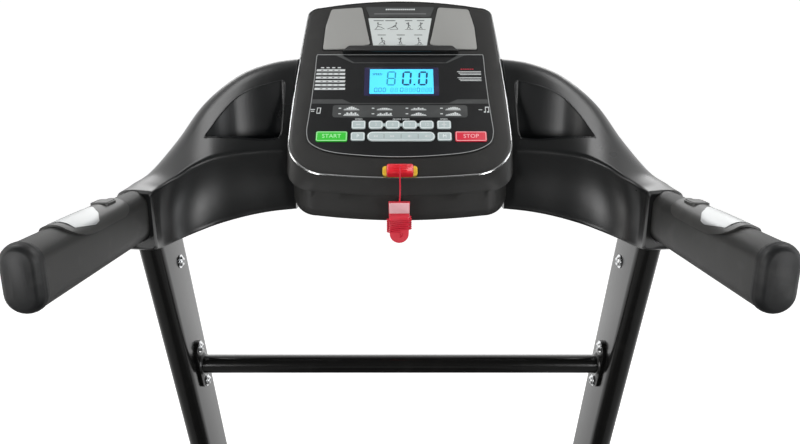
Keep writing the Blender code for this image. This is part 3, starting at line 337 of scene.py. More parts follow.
def round_waist(share, out):
    """A point on the clip's waist line, a share of the way round from the middle of its front, pushed out."""
    want = ((share + 0.75) % 1.0) * lengths[-1]
    i = max(k for k in range(len(waist)) if lengths[k] <= want + 1e-9)
    a, b = waist[i], waist[(i + 1) % len(waist)]
    s = (want - lengths[i]) / max(lengths[i + 1] - lengths[i], 1e-9)
    x, y = a[0] + (b[0] - a[0]) * s, a[1] + (b[1] - a[1]) * s
    reach = math.hypot(x, y)
    return CLIP_X + x * (1 + out / reach), CLIP_Y + y * (1 + out / reach)


for i in range(8, TURNS * PER_TURN + 1):
    share = i / PER_TURN
    x, y = round_waist(share, 0.0002)
    route.append((x, y, TOP_TURN - PITCH * share + 0.0016 * math.sin(share * math.tau + 0.6)))
route += [(0.0028, 0.2888, 0.9668), (0.0012, 0.2899, 0.9645), (0.0, 0.2925, 0.9632)]
curve = bpy.data.curves.new("lanyard_cord", "CURVE")
curve.dimensions, curve.bevel_depth, curve.bevel_resolution, curve.use_fill_caps = "3D", CORD / 2, 3, True
spline = curve.splines.new("POLY")
spline.points.add(len(route) - 1)
for point, place in zip(spline.points, route):
    point.co = (*place, 1)
red_cord = look("red_cord", (0.74, 0.015, 0.045), 0.62, grain=2600, depth=0.6, patchy=0.3, worn=0.15)
curve.materials.append(red_cord)
cord = bpy.data.objects.new("lanyard_cord", curve)
scene.collection.objects.link(cord)
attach(cord, "safety_key")
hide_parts("lanyard", "lanyard_winding")


# ---- Console shell ------------------------------------------------------------------------------------------------
# Two satin black mouldings screwed together from behind. The front one has a rounded face with a thin plated line
# round its edge, and drops to a flat lower wall; the rear one closes it like a shallow tray.
FACE_LENGTH, FACE_HALF, LIP, CONSOLE_LOW = 0.313, 0.1517, -0.0145, 0.9775


def lower_edge(n):
    wall = n * math.tan(TILT)
    return max(wall, (CONSOLE_LOW - FACE_Z - n * math.cos(TILT)) / math.sin(TILT))


def face_ring(n, bottom=0.0, top=FACE_LENGTH, inset=0.0, steps=12):
    """The console's outline at depth n: wide and round below, narrower above, with bowed lower and upper edges."""
    low_half, high_half = FACE_HALF - inset, 0.918 * FACE_HALF - inset
    bottom, top = bottom + inset, top - inset
    low_radius, high_radius, bow_low, bow_high = max(0.055 + min(n + 0.001, 0) * 1.5, 0.032), 0.018, 0.012, 0.0135
    right = []
    for i in range(steps + 1):
        x = (low_half - low_radius) * i / steps
        right.append((x, bottom + bow_low * (x / low_half) ** 2))
    corner_u = right[-1][1] + low_radius
    for i in range(1, steps + 1):
        t = math.pi / 2 * i / steps
        right.append((low_half - low_radius * (1 - math.sin(t)), corner_u - low_radius * math.cos(t)))
    turn_u = top - bow_high - high_radius
    for i in range(1, steps):
        share = i / steps
        right.append((low_half + (high_half - low_half) * share**1.6, corner_u + (turn_u - corner_u) * share))
    for i in range(steps + 1):
        t = math.pi / 2 * i / steps
        right.append((high_half - high_radius * (1 - math.cos(t)), turn_u + high_radius * math.sin(t)))
    edge = high_half - high_radius
    for i in range(1, steps + 1):
        x = edge * (1 - i / steps)
        right.append((x, top - bow_high * (x / edge) ** 2))
    left = [(-x, u) for x, u in right[-2:0:-1]]
    return [on_face(x, u, n) for x, u in right + left]


console_black = look("console_black", (0.0200, 0.0197, 0.0188), 0.42, grain=1500, depth=0.22, patchy=0.3, worn=0.015)
STEP = 0.0085
SHIFT = STEP - 0.001
rings = [face_ring(0.0002, 0.016, inset=0.020)]
for n, inset in ((0.0001, 0.006), (-0.0002, 0.0030), (-0.0010, 0.0012), (-0.0022, 0.0002)):
    rings.append(face_ring(n, inset=inset))
rings.append(face_ring(-0.0036, lower_edge(-0.0036)))
rings.append(face_ring(LIP, lower_edge(LIP)))
rings.append(face_ring(LIP - 0.0006, lower_edge(LIP) - 0.0012, inset=0.0014))
for n in (LIP - 0.0010, -0.022, -0.030, -0.0355):
    rings.append(face_ring(n, lower_edge(n) - SHIFT, FACE_LENGTH - 0.0015, STEP))
rings.append(face_ring(-0.0375, lower_edge(-0.0375) - SHIFT + 0.0006, FACE_LENGTH - 0.003, STEP + 0.0006))
rings.append(face_ring(-0.0478, lower_edge(-0.0478) - SHIFT + 0.0004, FACE_LENGTH - 0.006, STEP + 0.0004))
piece("console_bezel", lofted(rings), console_black, "frame", ("console_front",))


def band(rings):
    """A closed band: the rings bridged in turn, and the last to the first."""
    bm = bmesh.new()
    loops = [loop_of(bm, ring) for ring in rings]
    for near, far in zip(loops, loops[1:] + loops[:1]):
        bmesh.ops.bridge_loops(bm, edges=near + far)
    return bm


bright_plating = look("bright_plating", (0.72, 0.73, 0.73), 0.20, metal=1.0, grain=300, depth=0.03, worn=0.02)
plated = [(0.00015, 0.0019), (0.0005, 0.0010), (-0.0003, 0.0001), (-0.0012, 0.0003), (-0.0016, 0.0016),
          (-0.0006, 0.0019)]
rings = [face_ring(n, inset=inset) for n, inset in plated]
piece("console_plated_line", band(rings), bright_plating, "frame")

rings = [face_ring(-0.0484, lower_edge(-0.048) - SHIFT + 0.0004, FACE_LENGTH - 0.006, STEP + 0.0004),
         face_ring(-0.0600, lower_edge(-0.060) - SHIFT, FACE_LENGTH - 0.010, STEP + 0.0006),
         face_ring(-0.0700, lower_edge(-0.070) - SHIFT, FACE_LENGTH - 0.014, STEP + 0.002),
         face_ring(-0.0780, lower_edge(-0.078) - 0.003, FACE_LENGTH - 0.020, STEP + 0.005),
         face_ring(-0.0840, lower_edge(-0.084) + 0.004, FACE_LENGTH - 0.029, STEP + 0.010),
         face_ring(-0.0885, lower_edge(-0.084) + 0.014, FACE_LENGTH - 0.040, STEP + 0.018),
         face_ring(-0.0915, lower_edge(-0.084) + 0.030, FACE_LENGTH - 0.056, STEP + 0.032)]
piece("console_rear_shell", lofted(rings), console_black, "frame", ("console_back",))
# Cooling slots and screw posts on the back: the slots are near-black bars on the shell, painted shade in place of
# openings.
slots_bm = bmesh.new()
for i in range(9):
    bmesh.ops.create_cube(slots_bm, size=1, matrix=Matrix.Translation(on_face(0, 0.105 + 0.009 * i, -0.0917))
                          @ Matrix.Rotation(TILT, 4, "X") @ Matrix.Diagonal((0.080, 0.0034, 0.0012, 1)))
slot_edges = [e for e in slots_bm.edges if abs(e.verts[0].co.x - e.verts[1].co.x) < 1e-6]
bmesh.ops.bevel(slots_bm, geom=slot_edges, offset=0.0005, segments=2, profile=0.5, affect="EDGES", material=-1)
# Near-black painted shade, used for slots, the gaps round parts and the walls of holes.
painted_shade_black = look("slot_painted_shade_black", (0.004, 0.004, 0.004), 0.6, grain=900, depth=0.1)
piece("console_cooling_slot_shade", slots_bm, painted_shade_black, "frame")
steel_dark = look("blackened_steel", (0.10, 0.10, 0.10), 0.34, metal=0.9, grain=900, depth=0.12, worn=0.2)


def screw_head(bm, place, turn, radius, height):
    """A domed head with a cross recess, standing up its own +Z before it is turned and placed."""
    made = bmesh.ops.create_uvsphere(bm, u_segments=20, v_segments=8, radius=radius)["verts"]
    bmesh.ops.scale(bm, verts=made, vec=(1, 1, height / radius))
    low = [v for v in made if v.co.z < -1e-6]
    bmesh.ops.delete(bm, geom=low, context="VERTS")
    made = [v for v in made if v.is_valid]
    base = {e for v in made for e in v.link_edges if e.is_boundary}
    bmesh.ops.holes_fill(bm, edges=list(base), sides=0)
    for v in made:
        if math.hypot(v.co.x, v.co.y) < radius * 0.32:
            v.co.z -= height * 0.45
    bmesh.ops.transform(bm, matrix=Matrix.Translation(place) @ turn, verts=made)


screws_bm = bmesh.new()
for x, u in ((-0.095, 0.060), (0.095, 0.060), (-0.085, 0.225), (0.085, 0.225), (-0.098, 0.14), (0.098, 0.14)):
    screw_head(screws_bm, on_face(x, u, -0.0895), Matrix.Rotation(TILT + math.pi, 4, "X"), 0.0042, 0.0024)
piece("console_screws", screws_bm, steel_dark, "frame")


# ---- Console face: overlay, printing and display ------------------------------------------------------------------
# A black printed polyester film is laid over the face, with a pale line round it. A lit blue liquid-crystal display
# shows through its window, and everything else on it is screen printing.
def rounded_path(points, sub=8):
    """A closed smooth curve through the points."""
    out = []
    for i in range(len(points)):
        p0, p1, p2, p3 = (Vector(points[(i + k) % len(points)]) for k in (-1, 0, 1, 2))
        for k in range(sub):
            s = k / sub
            out.append(tuple(0.5 * (2 * p1 + (p2 - p0) * s + (2 * p0 - 5 * p1 + 4 * p2 - p3) * s * s
                                    + (3 * p1 - p0 - 3 * p2 + p3) * s**3)))
    return out


def cut_corners(corners, radius, steps=5):
    out = []
    for i, corner in enumerate(corners):
        here = Vector(corner)
        back, on = Vector(corners[i - 1]) - here, Vector(corners[(i + 1) % len(corners)]) - here
        a = here + back.normalized() * min(radius, back.length * 0.45)
        b = here + on.normalized() * min(radius, on.length * 0.45)
        for k in range(steps + 1):
            s = k / steps
            out.append(tuple(a * (1 - s) ** 2 + here * 2 * s * (1 - s) + b * s * s))
    return out


def stand_in(outline, distance):
    """The outline moved inwards by a distance (outwards if negative); the outline runs anticlockwise."""
    out = []
    for i, point in enumerate(outline):
        along = (Vector(outline[(i + 1) % len(outline)]) - Vector(outline[i - 1])).normalized()
        out.append((point[0] - along.y * distance, point[1] + along.x * distance))
    return out


def face_plate(name, outline, layers, finish, body="frame", stands_for=()):
    """A plate on the face from an (x, u) outline; each layer is (n, how far it stands in)."""
    rings = [[on_face(x, u, n) for x, u in (stand_in(outline, inset) if inset else outline)] for n, inset in layers]
    return piece(name, lofted(rings), finish, body, stands_for)


def printed(name, shapes, finish, low=0.00186, high=0.00196, body="frame"):
    bm = bmesh.new()
    for outline in shapes:
        lofted([[on_face(x, u, n) for x, u in outline] for n in (low, high)], bm=bm)
    return piece(name, bm, finish, body)


def bar(x, u, width, height, lean=0.0):
    return [(x - width / 2, u - height / 2), (x + width / 2, u - height / 2), (x + width / 2 + lean, u + height / 2),
            (x - width / 2 + lean, u + height / 2)]


overlay_film = look("overlay_film", (0.0052, 0.0056, 0.0062), 0.40, coat=0.1, coat_rough=0.25, grain=2200, depth=0.08,
                    worn=0.01)
grey_ink = look("grey_ink", (0.15, 0.155, 0.155), 0.5, grain=2600, depth=0.1)
edge_ink = look("edge_ink", (0.32, 0.33, 0.33), 0.5, grain=2600, depth=0.1)
dark_ink = look("dark_ink", (0.055, 0.058, 0.058), 0.5, grain=2600, depth=0.1)
white_ink = look("white_ink", (0.66, 0.69, 0.69), 0.5, grain=2600, depth=0.1)
red_ink = look("red_ink", (0.45, 0.02, 0.04), 0.5, grain=2600, depth=0.1)

half = [(0.0, 0.0312), (0.046, 0.0332), (0.0930, 0.0392), (0.1195, 0.0515), (0.1272, 0.0690), (0.1262, 0.0960),
        (0.1242, 0.1250), (0.1222, 0.1680)]
beyond = [(0.1203, 0.2150), (0.1100, 0.2600), (-0.1100, 0.2600), (-0.1203, 0.2150)]
smooth = rounded_path([*half, *beyond, *[(-x, u) for x, u in half[:0:-1]]])
turn = next(i for i, (_, u) in enumerate(smooth) if u > 0.2062)
back = next(i for i, (_, u) in enumerate(smooth) if i > turn and u < 0.2062)
overlay = smooth[:turn] + [(0.1206, 0.2062), (0.1198, 0.2070), (-0.1198, 0.2070), (-0.1206, 0.2062)] + smooth[back:]
def cut_with(obj, bm, finish=None, operation="DIFFERENCE"):
    """Cuts a closed bmesh out of a piece, or joins it on; the cut faces take the cutter's finish."""
    bmesh.ops.recalc_face_normals(bm, faces=bm.faces)
    mesh = bpy.data.meshes.new("cutter")
    bm.to_mesh(mesh)
    bm.free()
    mesh.materials.append(finish or obj.data.materials[0])
    tool = bpy.data.objects.new("cutter", mesh)
    scene.collection.objects.link(tool)
    cut = obj.modifiers.new("cut", "BOOLEAN")
    cut.operation, cut.object, cut.solver, cut.material_mode = operation, tool, "EXACT", "TRANSFER"
    bpy.context.view_layer.update()
    made = bpy.data.meshes.new_from_object(obj.evaluated_get(bpy.context.evaluated_depsgraph_get()))
    obj.modifiers.clear()
    old, obj.data = obj.data, made
    bpy.data.meshes.remove(old)
    bpy.data.objects.remove(tool)
    bpy.data.meshes.remove(mesh)


# The film has a hole for each key, which gives the pads room to move: x, u, width, height and corner radius of each.
KEY_SHAPES = {
    "key_start": (-0.0923, 0.0640, 0.0425, 0.0163, 0.0026),
    "key_stop": (0.0958, 0.0640, 0.0425, 0.0163, 0.0026),
    "key_speed_down": (-0.0565, 0.0830, 0.0190, 0.0135, 0.0026),
    "key_speed_up": (0.0600, 0.0830, 0.0190, 0.0135, 0.0026),
    "key_program": (-0.0570, 0.0640, 0.0190, 0.0135, 0.0026),
    "key_mode": (0.0602, 0.0640, 0.0190, 0.0135, 0.0026),
    "quick_speed_keys": (0.00165, 0.0830, 0.0888, 0.0135, 0.0042),
    "media_keys": (0.0015, 0.0640, 0.0915, 0.0150, 0.0072),
}
film = face_plate("console_overlay", overlay, ((0.0003, 0.0), (0.0015, 0.0), (0.0018, 0.0003)), overlay_film, "frame",
                  ("keypad_panel",))
holes = bmesh.new()
for x, u, width, height, radius in KEY_SHAPES.values():
    shape = rounded(width + 0.0007, height + 0.0007, radius + 0.00035)
    lofted([[on_face(x + a, u + b, n) for a, b in shape] for n in (-0.001, 0.004)], bm=holes)
cut_with(film, holes)


def printed_line(name, outline, width, low, high, finish, body="frame"):
    """A thin line printed round an outline, inside it."""
    bm = bmesh.new()
    inner = bm.faces.new([bm.verts.new(on_face(x, u, low)) for x, u in outline])
    bm.normal_update()
    bmesh.ops.inset_region(bm, faces=[inner], thickness=width, use_even_offset=True, use_boundary=True)
    bmesh.ops.delete(bm, geom=[inner], context="FACES")
    raised = bmesh.ops.extrude_face_region(bm, geom=bm.faces[:], use_keep_orig=True)["geom"]
    bmesh.ops.translate(bm, vec=on_face(0, 0, high) - on_face(0, 0, low),
                        verts=[v for v in raised if isinstance(v, bmesh.types.BMVert)])
    return piece(name, bm, finish, body)


printed_line("overlay_edge_line", stand_in(overlay, 0.0005), 0.0010, 0.0019, 0.0021, edge_ink)
steps_and_rules = [bar(0, 0.1192, 0.150, 0.0013)]
for sign in (-1, 1):
    for outline in ([(0.066, 0.1188), (0.1232, 0.1188), (0.1226, 0.1262), (0.0800, 0.1262)],
                    [(0.0640, 0.1905), (0.0680, 0.1905), (0.0965, 0.2068), (0.0860, 0.2068)]):
        steps_and_rules.append([(sign * x, u) for x, u in outline])
steps_and_rules.append(bar(0, 0.1911, 0.130, 0.0012))
printed("overlay_rules", steps_and_rules, dark_ink)
strip = [(x, u + 0.106) for x, u in rounded(0.186, 0.0205, 0.004)]
face_plate("program_strip", strip, ((0.0018, 0), (0.00192, 0)), dark_ink)

profiles = ((1, 3, 5, 6, 5, 3, 1), (2, 5, 3, 6, 3, 5, 2), (1, 2, 3, 3, 3, 2, 1), (2, 4, 2, 3, 5, 2, 4),
            (1, 3, 2, 4, 2, 3, 1), (1, 2, 4, 5, 4, 2, 1), (1, 3, 4, 5, 5, 4, 2), (1, 2, 3, 4, 6, 4, 2))
marks = []
for column, x in enumerate((-0.0670, -0.0212, 0.0256, 0.0733)):
    for row, u in enumerate((0.1088, 0.0995)):
        marks.append(bar(x, u - 0.0006, 0.0215, 0.0009))
        marks.append(bar(x - 0.0160, u + 0.0022, 0.0035, 0.0016))
        for i, high in enumerate(profiles[column * 2 + row]):
            marks.append(bar(x + (i - 3) * 0.0028, u + 0.0003 + high * 0.0004, 0.0025, 0.0008 * high))
printed("program_profiles", marks, white_ink, 0.00192, 0.00202)

table = [bar(-0.0990, 0.1775 - 0.0066 * i, 0.0405 + 0.0005 * i, 0.0036, 0.0006) for i in range(6)]
table += [bar(-0.1110 + 0.0080 * i, 0.1822, 0.0045, 0.0018) for i in range(4)]
printed("program_table", table, white_ink)
printed("program_table_figures", [bar(-0.1110 + 0.0080 * k, 0.1775 - 0.0066 * i, 0.0030, 0.0012)
                                  for i in range(6) for k in range(4)], dark_ink, 0.00196, 0.00204)
printed("advice_heading", [bar(0.0880 + 0.0032 * i, 0.1795, 0.0024, 0.0018) for i in range(6)], red_ink)
advice = [bar(0.0985 + 0.001 * (i % 3), 0.1750 - 0.0026 * i - (0.003 if i > 2 else 0), 0.034 - 0.002 * (i % 3),
              0.0011)
          for i in range(6)]
printed("advice_lines", advice, white_ink)
socket_marks = [bar(-0.1125, 0.1070, 0.0055, 0.0100, 0.0008), bar(-0.1205, 0.1090, 0.0060, 0.0012),
                bar(-0.1205, 0.1060, 0.0045, 0.0012), bar(0.1110, 0.1085, 0.0050, 0.0010)]
note = [bar(0.1180, 0.1085, 0.0010, 0.0080), bar(0.1225, 0.1085, 0.0010, 0.0080), bar(0.1203, 0.1128, 0.0054, 0.0014),
        bar(0.1170, 0.1048, 0.0026, 0.0020), bar(0.1215, 0.1048, 0.0026, 0.0020)]
printed("sound_marks", socket_marks + note, white_ink)
# The socket's opening is a flat dark patch of film colour: painted shade in place of a hole.
printed("sound_socket_hole_shade", [bar(-0.1125, 0.1072, 0.0034, 0.0076, 0.0006)], overlay_film, 0.00196, 0.00204)


def lettering(name, words, x, u, size, finish, n=0.00186, body="frame"):
    """Flat printed letters, centred on (x, u)."""
    text = bpy.data.curves.new(name, "FONT")
    text.body, text.size, text.align_x, text.align_y, text.extrude = words, size, "CENTER", "CENTER", 0.00006
    text.resolution_u = 3
    stencil = bpy.data.objects.new(name + "_stencil", text)
    scene.collection.objects.link(stencil)
    bpy.context.view_layer.update()
    mesh = bpy.data.meshes.new_from_object(stencil.evaluated_get(bpy.context.evaluated_depsgraph_get()))
    bpy.data.objects.remove(stencil)
    bpy.data.curves.remove(text)
    bm = bmesh.new()
    bm.from_mesh(mesh)
    bpy.data.meshes.remove(mesh)
    place = Matrix.Translation(on_face(x, u, n + 0.00006)) @ Matrix.Rotation(TILT, 4, "X")
    bmesh.ops.transform(bm, matrix=place, verts=bm.verts)
    return piece(name, bm, finish, body)


lettering("speed_word_left", "SPEED", -0.0565, 0.0925, 0.0038, white_ink)
lettering("speed_word_right", "SPEED", 0.0600, 0.0925, 0.0038, white_ink)
lettering("quick_speed_words", "QUICK SPEED", 0.0016, 0.0925, 0.0038, white_ink)

# The display: a dark violet bezel, the lit glass, and its segments.
LCD_X, LCD_U = 0.0022, 0.1575
bezel_film = look("bezel_film", (0.030, 0.026, 0.075), 0.25, coat=0.4, grain=1800, depth=0.05)
window = [(LCD_X + a, LCD_U + b) for a, b in rounded(0.1056, 0.0500, 0.0012)]
face_plate("display_bezel", window, ((0.0018, 0), (0.00194, 0)), bezel_film, "frame", ("display_module",))


def lit_glass(name, color, glow):
    """Backlit glass: brighter in the middle, over a fine grid."""
    finish = bpy.data.materials.new(name)
    finish.use_nodes = True
    tree = finish.node_tree
    shader, new, link = tree.nodes["Principled BSDF"], tree.nodes.new, tree.links.new
    place, spread, mesh_lines = new("ShaderNodeTexCoord"), new("ShaderNodeMapping"), new("ShaderNodeTexNoise")
    round_glow, tone = new("ShaderNodeTexGradient"), new("ShaderNodeValToRGB")
    link(place.outputs["Object"], spread.inputs["Vector"])
    spread.inputs["Location"].default_value = (-0.03, -6.2, -17.3)
    spread.inputs["Scale"].default_value = (15, 15, 15)
    round_glow.gradient_type = "SPHERICAL"
    link(spread.outputs["Vector"], round_glow.inputs["Vector"])
    mesh_lines.inputs["Scale"].default_value = 30
    link(place.outputs["Object"], mesh_lines.inputs["Vector"])
    mixed = new("ShaderNodeMath")
    mixed.operation = "MULTIPLY_ADD"
    link(mesh_lines.outputs["Fac"], mixed.inputs[0])
    mixed.inputs[1].default_value = 0.5
    link(round_glow.outputs["Fac"], mixed.inputs[2])
    tone.color_ramp.elements[0].position, tone.color_ramp.elements[1].position = 0.1, 0.9
    tone.color_ramp.elements[0].color = (*[c * 0.86 for c in color], 1)
    tone.color_ramp.elements[1].color = (*color, 1)
    link(mixed.outputs[0], tone.inputs["Fac"])
    link(tone.outputs["Color"], shader.inputs["Base Color"])
    link(tone.outputs["Color"], shader.inputs["Emission Color"])
    shader.inputs["Emission Strength"].default_value = glow
    shader.inputs["Roughness"].default_value = 0.25
    return finish


glass = [(LCD_X + a, LCD_U + b) for a, b in rounded(0.0902, 0.0436, 0.0008)]
blue_glass = lit_glass("lit_glass", (0.080, 0.60, 0.88), 0.62)
face_plate("display_glass", glass, ((0.00194, 0), (0.00208, 0)), blue_glass)
segment_ink = look("segment_ink", (0.012, 0.085, 0.20), 0.4, grain=2000, depth=0.02)
ghost_ink = look("ghost_ink", (0.035, 0.36, 0.55), 0.4, grain=2000, depth=0.02)


def segments(figure, x, u, width, height, thick):
    """The seven-segment bars of one figure, with its lower left corner at (x, u)."""
    lit = {"0": "abcdef", "2": "abdeg", "8": "abcdefg", "P": "abefg"}[figure]
    h, t = height / 2, thick / 2
    gap = thick * 0.18
    across = {"a": height - t, "g": h, "d": t}
    shapes = []
    for which in lit:
        if which in across:
            v, x0, x1 = across[which], t + gap, width - t - gap
            shape = [(x0, v), (x0 + t, v - t), (x1 - t, v - t), (x1, v), (x1 - t, v + t), (x0 + t, v + t)]
        else:
            w = t if which in "ef" else width - t
            v0, v1 = (h + gap, height - t - gap) if which in "bf" else (t + gap, h - gap)
            shape = [(w, v0), (w + t, v0 + t), (w + t, v1 - t), (w, v1), (w - t, v1 - t), (w - t, v0 + t)]
        shapes.append([(x + a + 0.06 * b, u + b) for a, b in shape])
    return shapes


dark = segments("0", 0.0022, 0.1502, 0.0135, 0.0252, 0.0029) + segments("0", 0.0250, 0.1502, 0.0135, 0.0252, 0.0029)
dark += [bar(0.0204, 0.1518, 0.0026, 0.0026)]
faint = segments("8", -0.0196, 0.1502, 0.0130, 0.0252, 0.0022)
for i, x in enumerate((-0.0365, -0.0305, -0.0245, 0.0000, 0.0235)):
    dark += segments("0", x, 0.1388, 0.0044, 0.0074, 0.0008)
dark += [bar(-0.0313, 0.1395, 0.0008, 0.0008)]
for x in (-0.0135, -0.0075, 0.0065, 0.0125, 0.0300, 0.0355, 0.0405, 0.0175):
    faint += segments("8", x, 0.1388, 0.0040, 0.0072, 0.0006)
printed("display_figures", dark, segment_ink, 0.00208, 0.00214)
printed("display_faint_figures", faint, ghost_ink, 0.00208, 0.00213)
lettering("display_speed_word", "SPEED", -0.0322, 0.1700, 0.0052, segment_ink, n=0.00208)


# ---- Keys ---------------------------------------------------------------------------------------------------------
# Domed polyester membrane keys: each is a soft pale pad with a printed symbol and a lighter outline, and gives under
# a fingertip.
key_film = look("key_film", (0.48, 0.565, 0.565), 0.38, grain=1600, depth=0.12, patchy=0.3, worn=0.05)
key_green = look("key_green", (0.045, 0.60, 0.045), 0.36, grain=1600, depth=0.1, worn=0.03)
key_red = look("key_red", (0.72, 0.030, 0.060), 0.36, grain=1600, depth=0.1, worn=0.03)
pale_green = look("pale_green_ink", (0.52, 0.92, 0.52), 0.5, grain=2600, depth=0.1)
pale_red = look("pale_red_ink", (0.92, 0.52, 0.55), 0.5, grain=2600, depth=0.1)
pale_blue = look("pale_key_ink", (0.86, 0.90, 0.90), 0.5, grain=2600, depth=0.1)
KEY_TOP = 0.0032
LAYERS = ((0.0014, 0), (0.0026, 0), (0.0030, 0.0002), (0.0032, 0.0008))


def outlined(name, x, u, width, height, radius, finish, body):
    """The lighter printed line just inside a pad's edge."""
    shape = [(x + a, u + b) for a, b in rounded(width - 0.0018, height - 0.0018, max(radius - 0.0009, 0.0005))]
    printed_line(name, shape, 0.0009, KEY_TOP, KEY_TOP + 0.00008, finish, body)


def symbol(name, shapes, finish, body):
    printed(name, shapes, finish, KEY_TOP + 0.00002, KEY_TOP + 0.0001, body)


for key, finish, line, word in (
    ("key_start", key_green, pale_green, "START"),
    ("key_stop", key_red, pale_red, "STOP"),
    ("key_speed_down", key_film, pale_blue, None),
    ("key_speed_up", key_film, pale_blue, None),
    ("key_program", key_film, pale_blue, "P"),
    ("key_mode", key_film, pale_blue, "M"),
):
    x, u, width, height, radius = KEY_SHAPES[key]
    slot = {"key_start": "key_green", "key_stop": "key_red"}.get(key, "key_grey")
    piece(key + "_pad", face_block(x, u, width, height, radius, LAYERS), finish, key, (key,))
    outlined(key + "_outline", x, u, width, height, radius, line, key)
    if word:
        lettering(key + "_word", word, x, u, 0.0088 if len(word) > 1 else 0.0070, line, KEY_TOP, key)
symbol("minus_symbol", [bar(-0.0565, 0.0830, 0.0066, 0.0014)], white_ink, "key_speed_down")
symbol("plus_symbol", [bar(0.0600, 0.0830, 0.0066, 0.0014), bar(0.0600, 0.0854, 0.0014, 0.0028),
                       bar(0.0600, 0.0806, 0.0014, 0.0028)], white_ink, "key_speed_up")

# Four linked pads for set speeds, in one film.
QUICK_X = (-0.0330, -0.0100, 0.0132, 0.0363)
quick_bm = bmesh.new()
for x in QUICK_X:
    rings = []
    for n, inset in LAYERS:
        shape = rounded(0.0195 - 2 * inset, 0.0135 - 2 * inset, max(0.0042 - inset, 0.0004))
        rings.append([on_face(x + a, 0.0830 + b, n) for a, b in shape])
    lofted(rings, bm=quick_bm)
for x in [(a + b) / 2 for a, b in zip(QUICK_X, QUICK_X[1:])]:
    lofted([[on_face(x + a, 0.0830 + b, n) for a, b in rounded(0.0060, 0.0042, 0.0004)] for n in (0.0014, 0.0029)],
           bm=quick_bm)
piece("quick_speed_pads", quick_bm, key_film, "quick_speed_keys", ("quick_speed_keys",))
for i, (x, speed) in enumerate(zip(QUICK_X, ("3", "6", "9", "12"))):
    outlined(f"quick_outline_{i}", x, 0.0830, 0.0195, 0.0135, 0.0042, pale_blue, "quick_speed_keys")
    lettering(f"quick_figure_{i}", speed, x, 0.0830, 0.0064, white_ink, KEY_TOP, "quick_speed_keys")

# One long pill for sound: previous, next, quieter and louder.
pill_bm = face_block(0.0015, 0.0640, 0.0915, 0.0150, 0.0072, LAYERS, 10)
piece("media_pad", pill_bm, key_film, "media_keys", ("media_keys",))
outlined("media_outline", 0.0015, 0.0640, 0.0915, 0.0150, 0.0072, pale_blue, "media_keys")
signs = []
for x, way in ((-0.0330, -1), (-0.0100, 1)):
    for shift in (-0.0016, 0.0014):
        tip, back = x + shift + way * 0.0014, x + shift - way * 0.0014
        points = [(back, 0.0622), (tip, 0.0640), (back, 0.0658)]
        signs.append(points if way > 0 else points[::-1])
for x, louder in ((0.0130, False), (0.0360, True)):
    signs += [bar(x - 0.0016, 0.0640, 0.0014, 0.0022),
              [(x - 0.0009, 0.0631), (x + 0.0008, 0.0618), (x + 0.0008, 0.0662), (x - 0.0009, 0.0649)]]
    signs += [bar(x + 0.0020 + 0.0014 * k, 0.0640, 0.0005, 0.0024 + 0.0014 * k) for k in range(3 if louder else 1)]
symbol("media_signs", signs, white_ink, "media_keys")
symbol("media_divisions", [bar(x, 0.0640, 0.0005, 0.0070) for x in (-0.0215, 0.0015, 0.0245)], grey_ink, "media_keys")


# ---- Upper console: speakers, label and book ledge ----------------------------------------------------------------
# Silver-painted speaker covers stand at each side of a printed paper label of stretches under a clear film. A black
# moulded ledge below them keeps a book or a tablet from sliding down.
silver_paint = look("silver_paint", (0.40, 0.40, 0.385), 0.42, metal=0.35, grain=2400, depth=0.30, worn=0.05)
for side, sign in SIDES:
    corners = [(0.0437, 0.2260), (0.0790, 0.2170), (0.1125, 0.2165), (0.1105, 0.2600), (0.1035, 0.2945), (0.0575, 0.2985)]
    outline = [(sign * x, u) for x, u in cut_corners(corners, 0.004)]
    outline = outline if sign > 0 else outline[::-1]
    layers = ((0.0003, 0), (0.0016, 0), (0.0022, 0.0006), (0.0023, 0.0016))
    face_plate(f"speaker_cover_{side}", outline, layers, silver_paint,
               "frame", (f"speaker_{side}",))
    # A near-black sheet a little larger than the cover: painted shade in the gap between the cover and the face.
    gap = [(0.0420, 0.2235), (0.0790, 0.2145), (0.1145, 0.2145), (0.1125, 0.2605), (0.1050, 0.2965), (0.0560, 0.3005)]
    gap = [(sign * x, u) for x, u in cut_corners(gap, 0.004)]
    gap = gap if sign > 0 else gap[::-1]
    face_plate(f"speaker_gap_shade_{side}", gap, ((0.0001, 0), (0.0005, 0.0003)), painted_shade_black)

header = [(-0.0455, 0.2800), (0.0455, 0.2800), (0.0520, 0.3000), (-0.0520, 0.3000)]
face_plate("header_film", cut_corners(header, 0.002), ((0.0003, 0), (0.0009, 0)), dark_ink)
printed("header_marks", [bar(-0.0205 + 0.0032 * i, 0.2950, 0.0024, 0.0026, 0.0004) for i in range(14)], white_ink, 0.0009,
        0.0010)
printed("header_rule", [bar(0, 0.2862, 0.078, 0.0022, 0.0002)], grey_ink, 0.0009, 0.0010)
label = [(-0.0390, 0.2225), (0.0390, 0.2225), (0.0475, 0.2775), (-0.0475, 0.2775)]
paper = look("label_paper", (0.62, 0.66, 0.65), 0.45, coat=0.3, grain=1800, depth=0.05, patchy=0.3, worn=0.06)
face_plate("stretch_label", cut_corners(label, 0.0015), ((0.0003, 0), (0.0009, 0)), paper)


def limb(a, b, thick):
    """A bar from a to b, for the little figures of the label."""
    along = (Vector(b) - Vector(a)).normalized()
    side = Vector((-along.y, along.x)) * thick / 2
    return [tuple(Vector(a) - side), tuple(Vector(b) - side), tuple(Vector(b) + side), tuple(Vector(a) + side)]


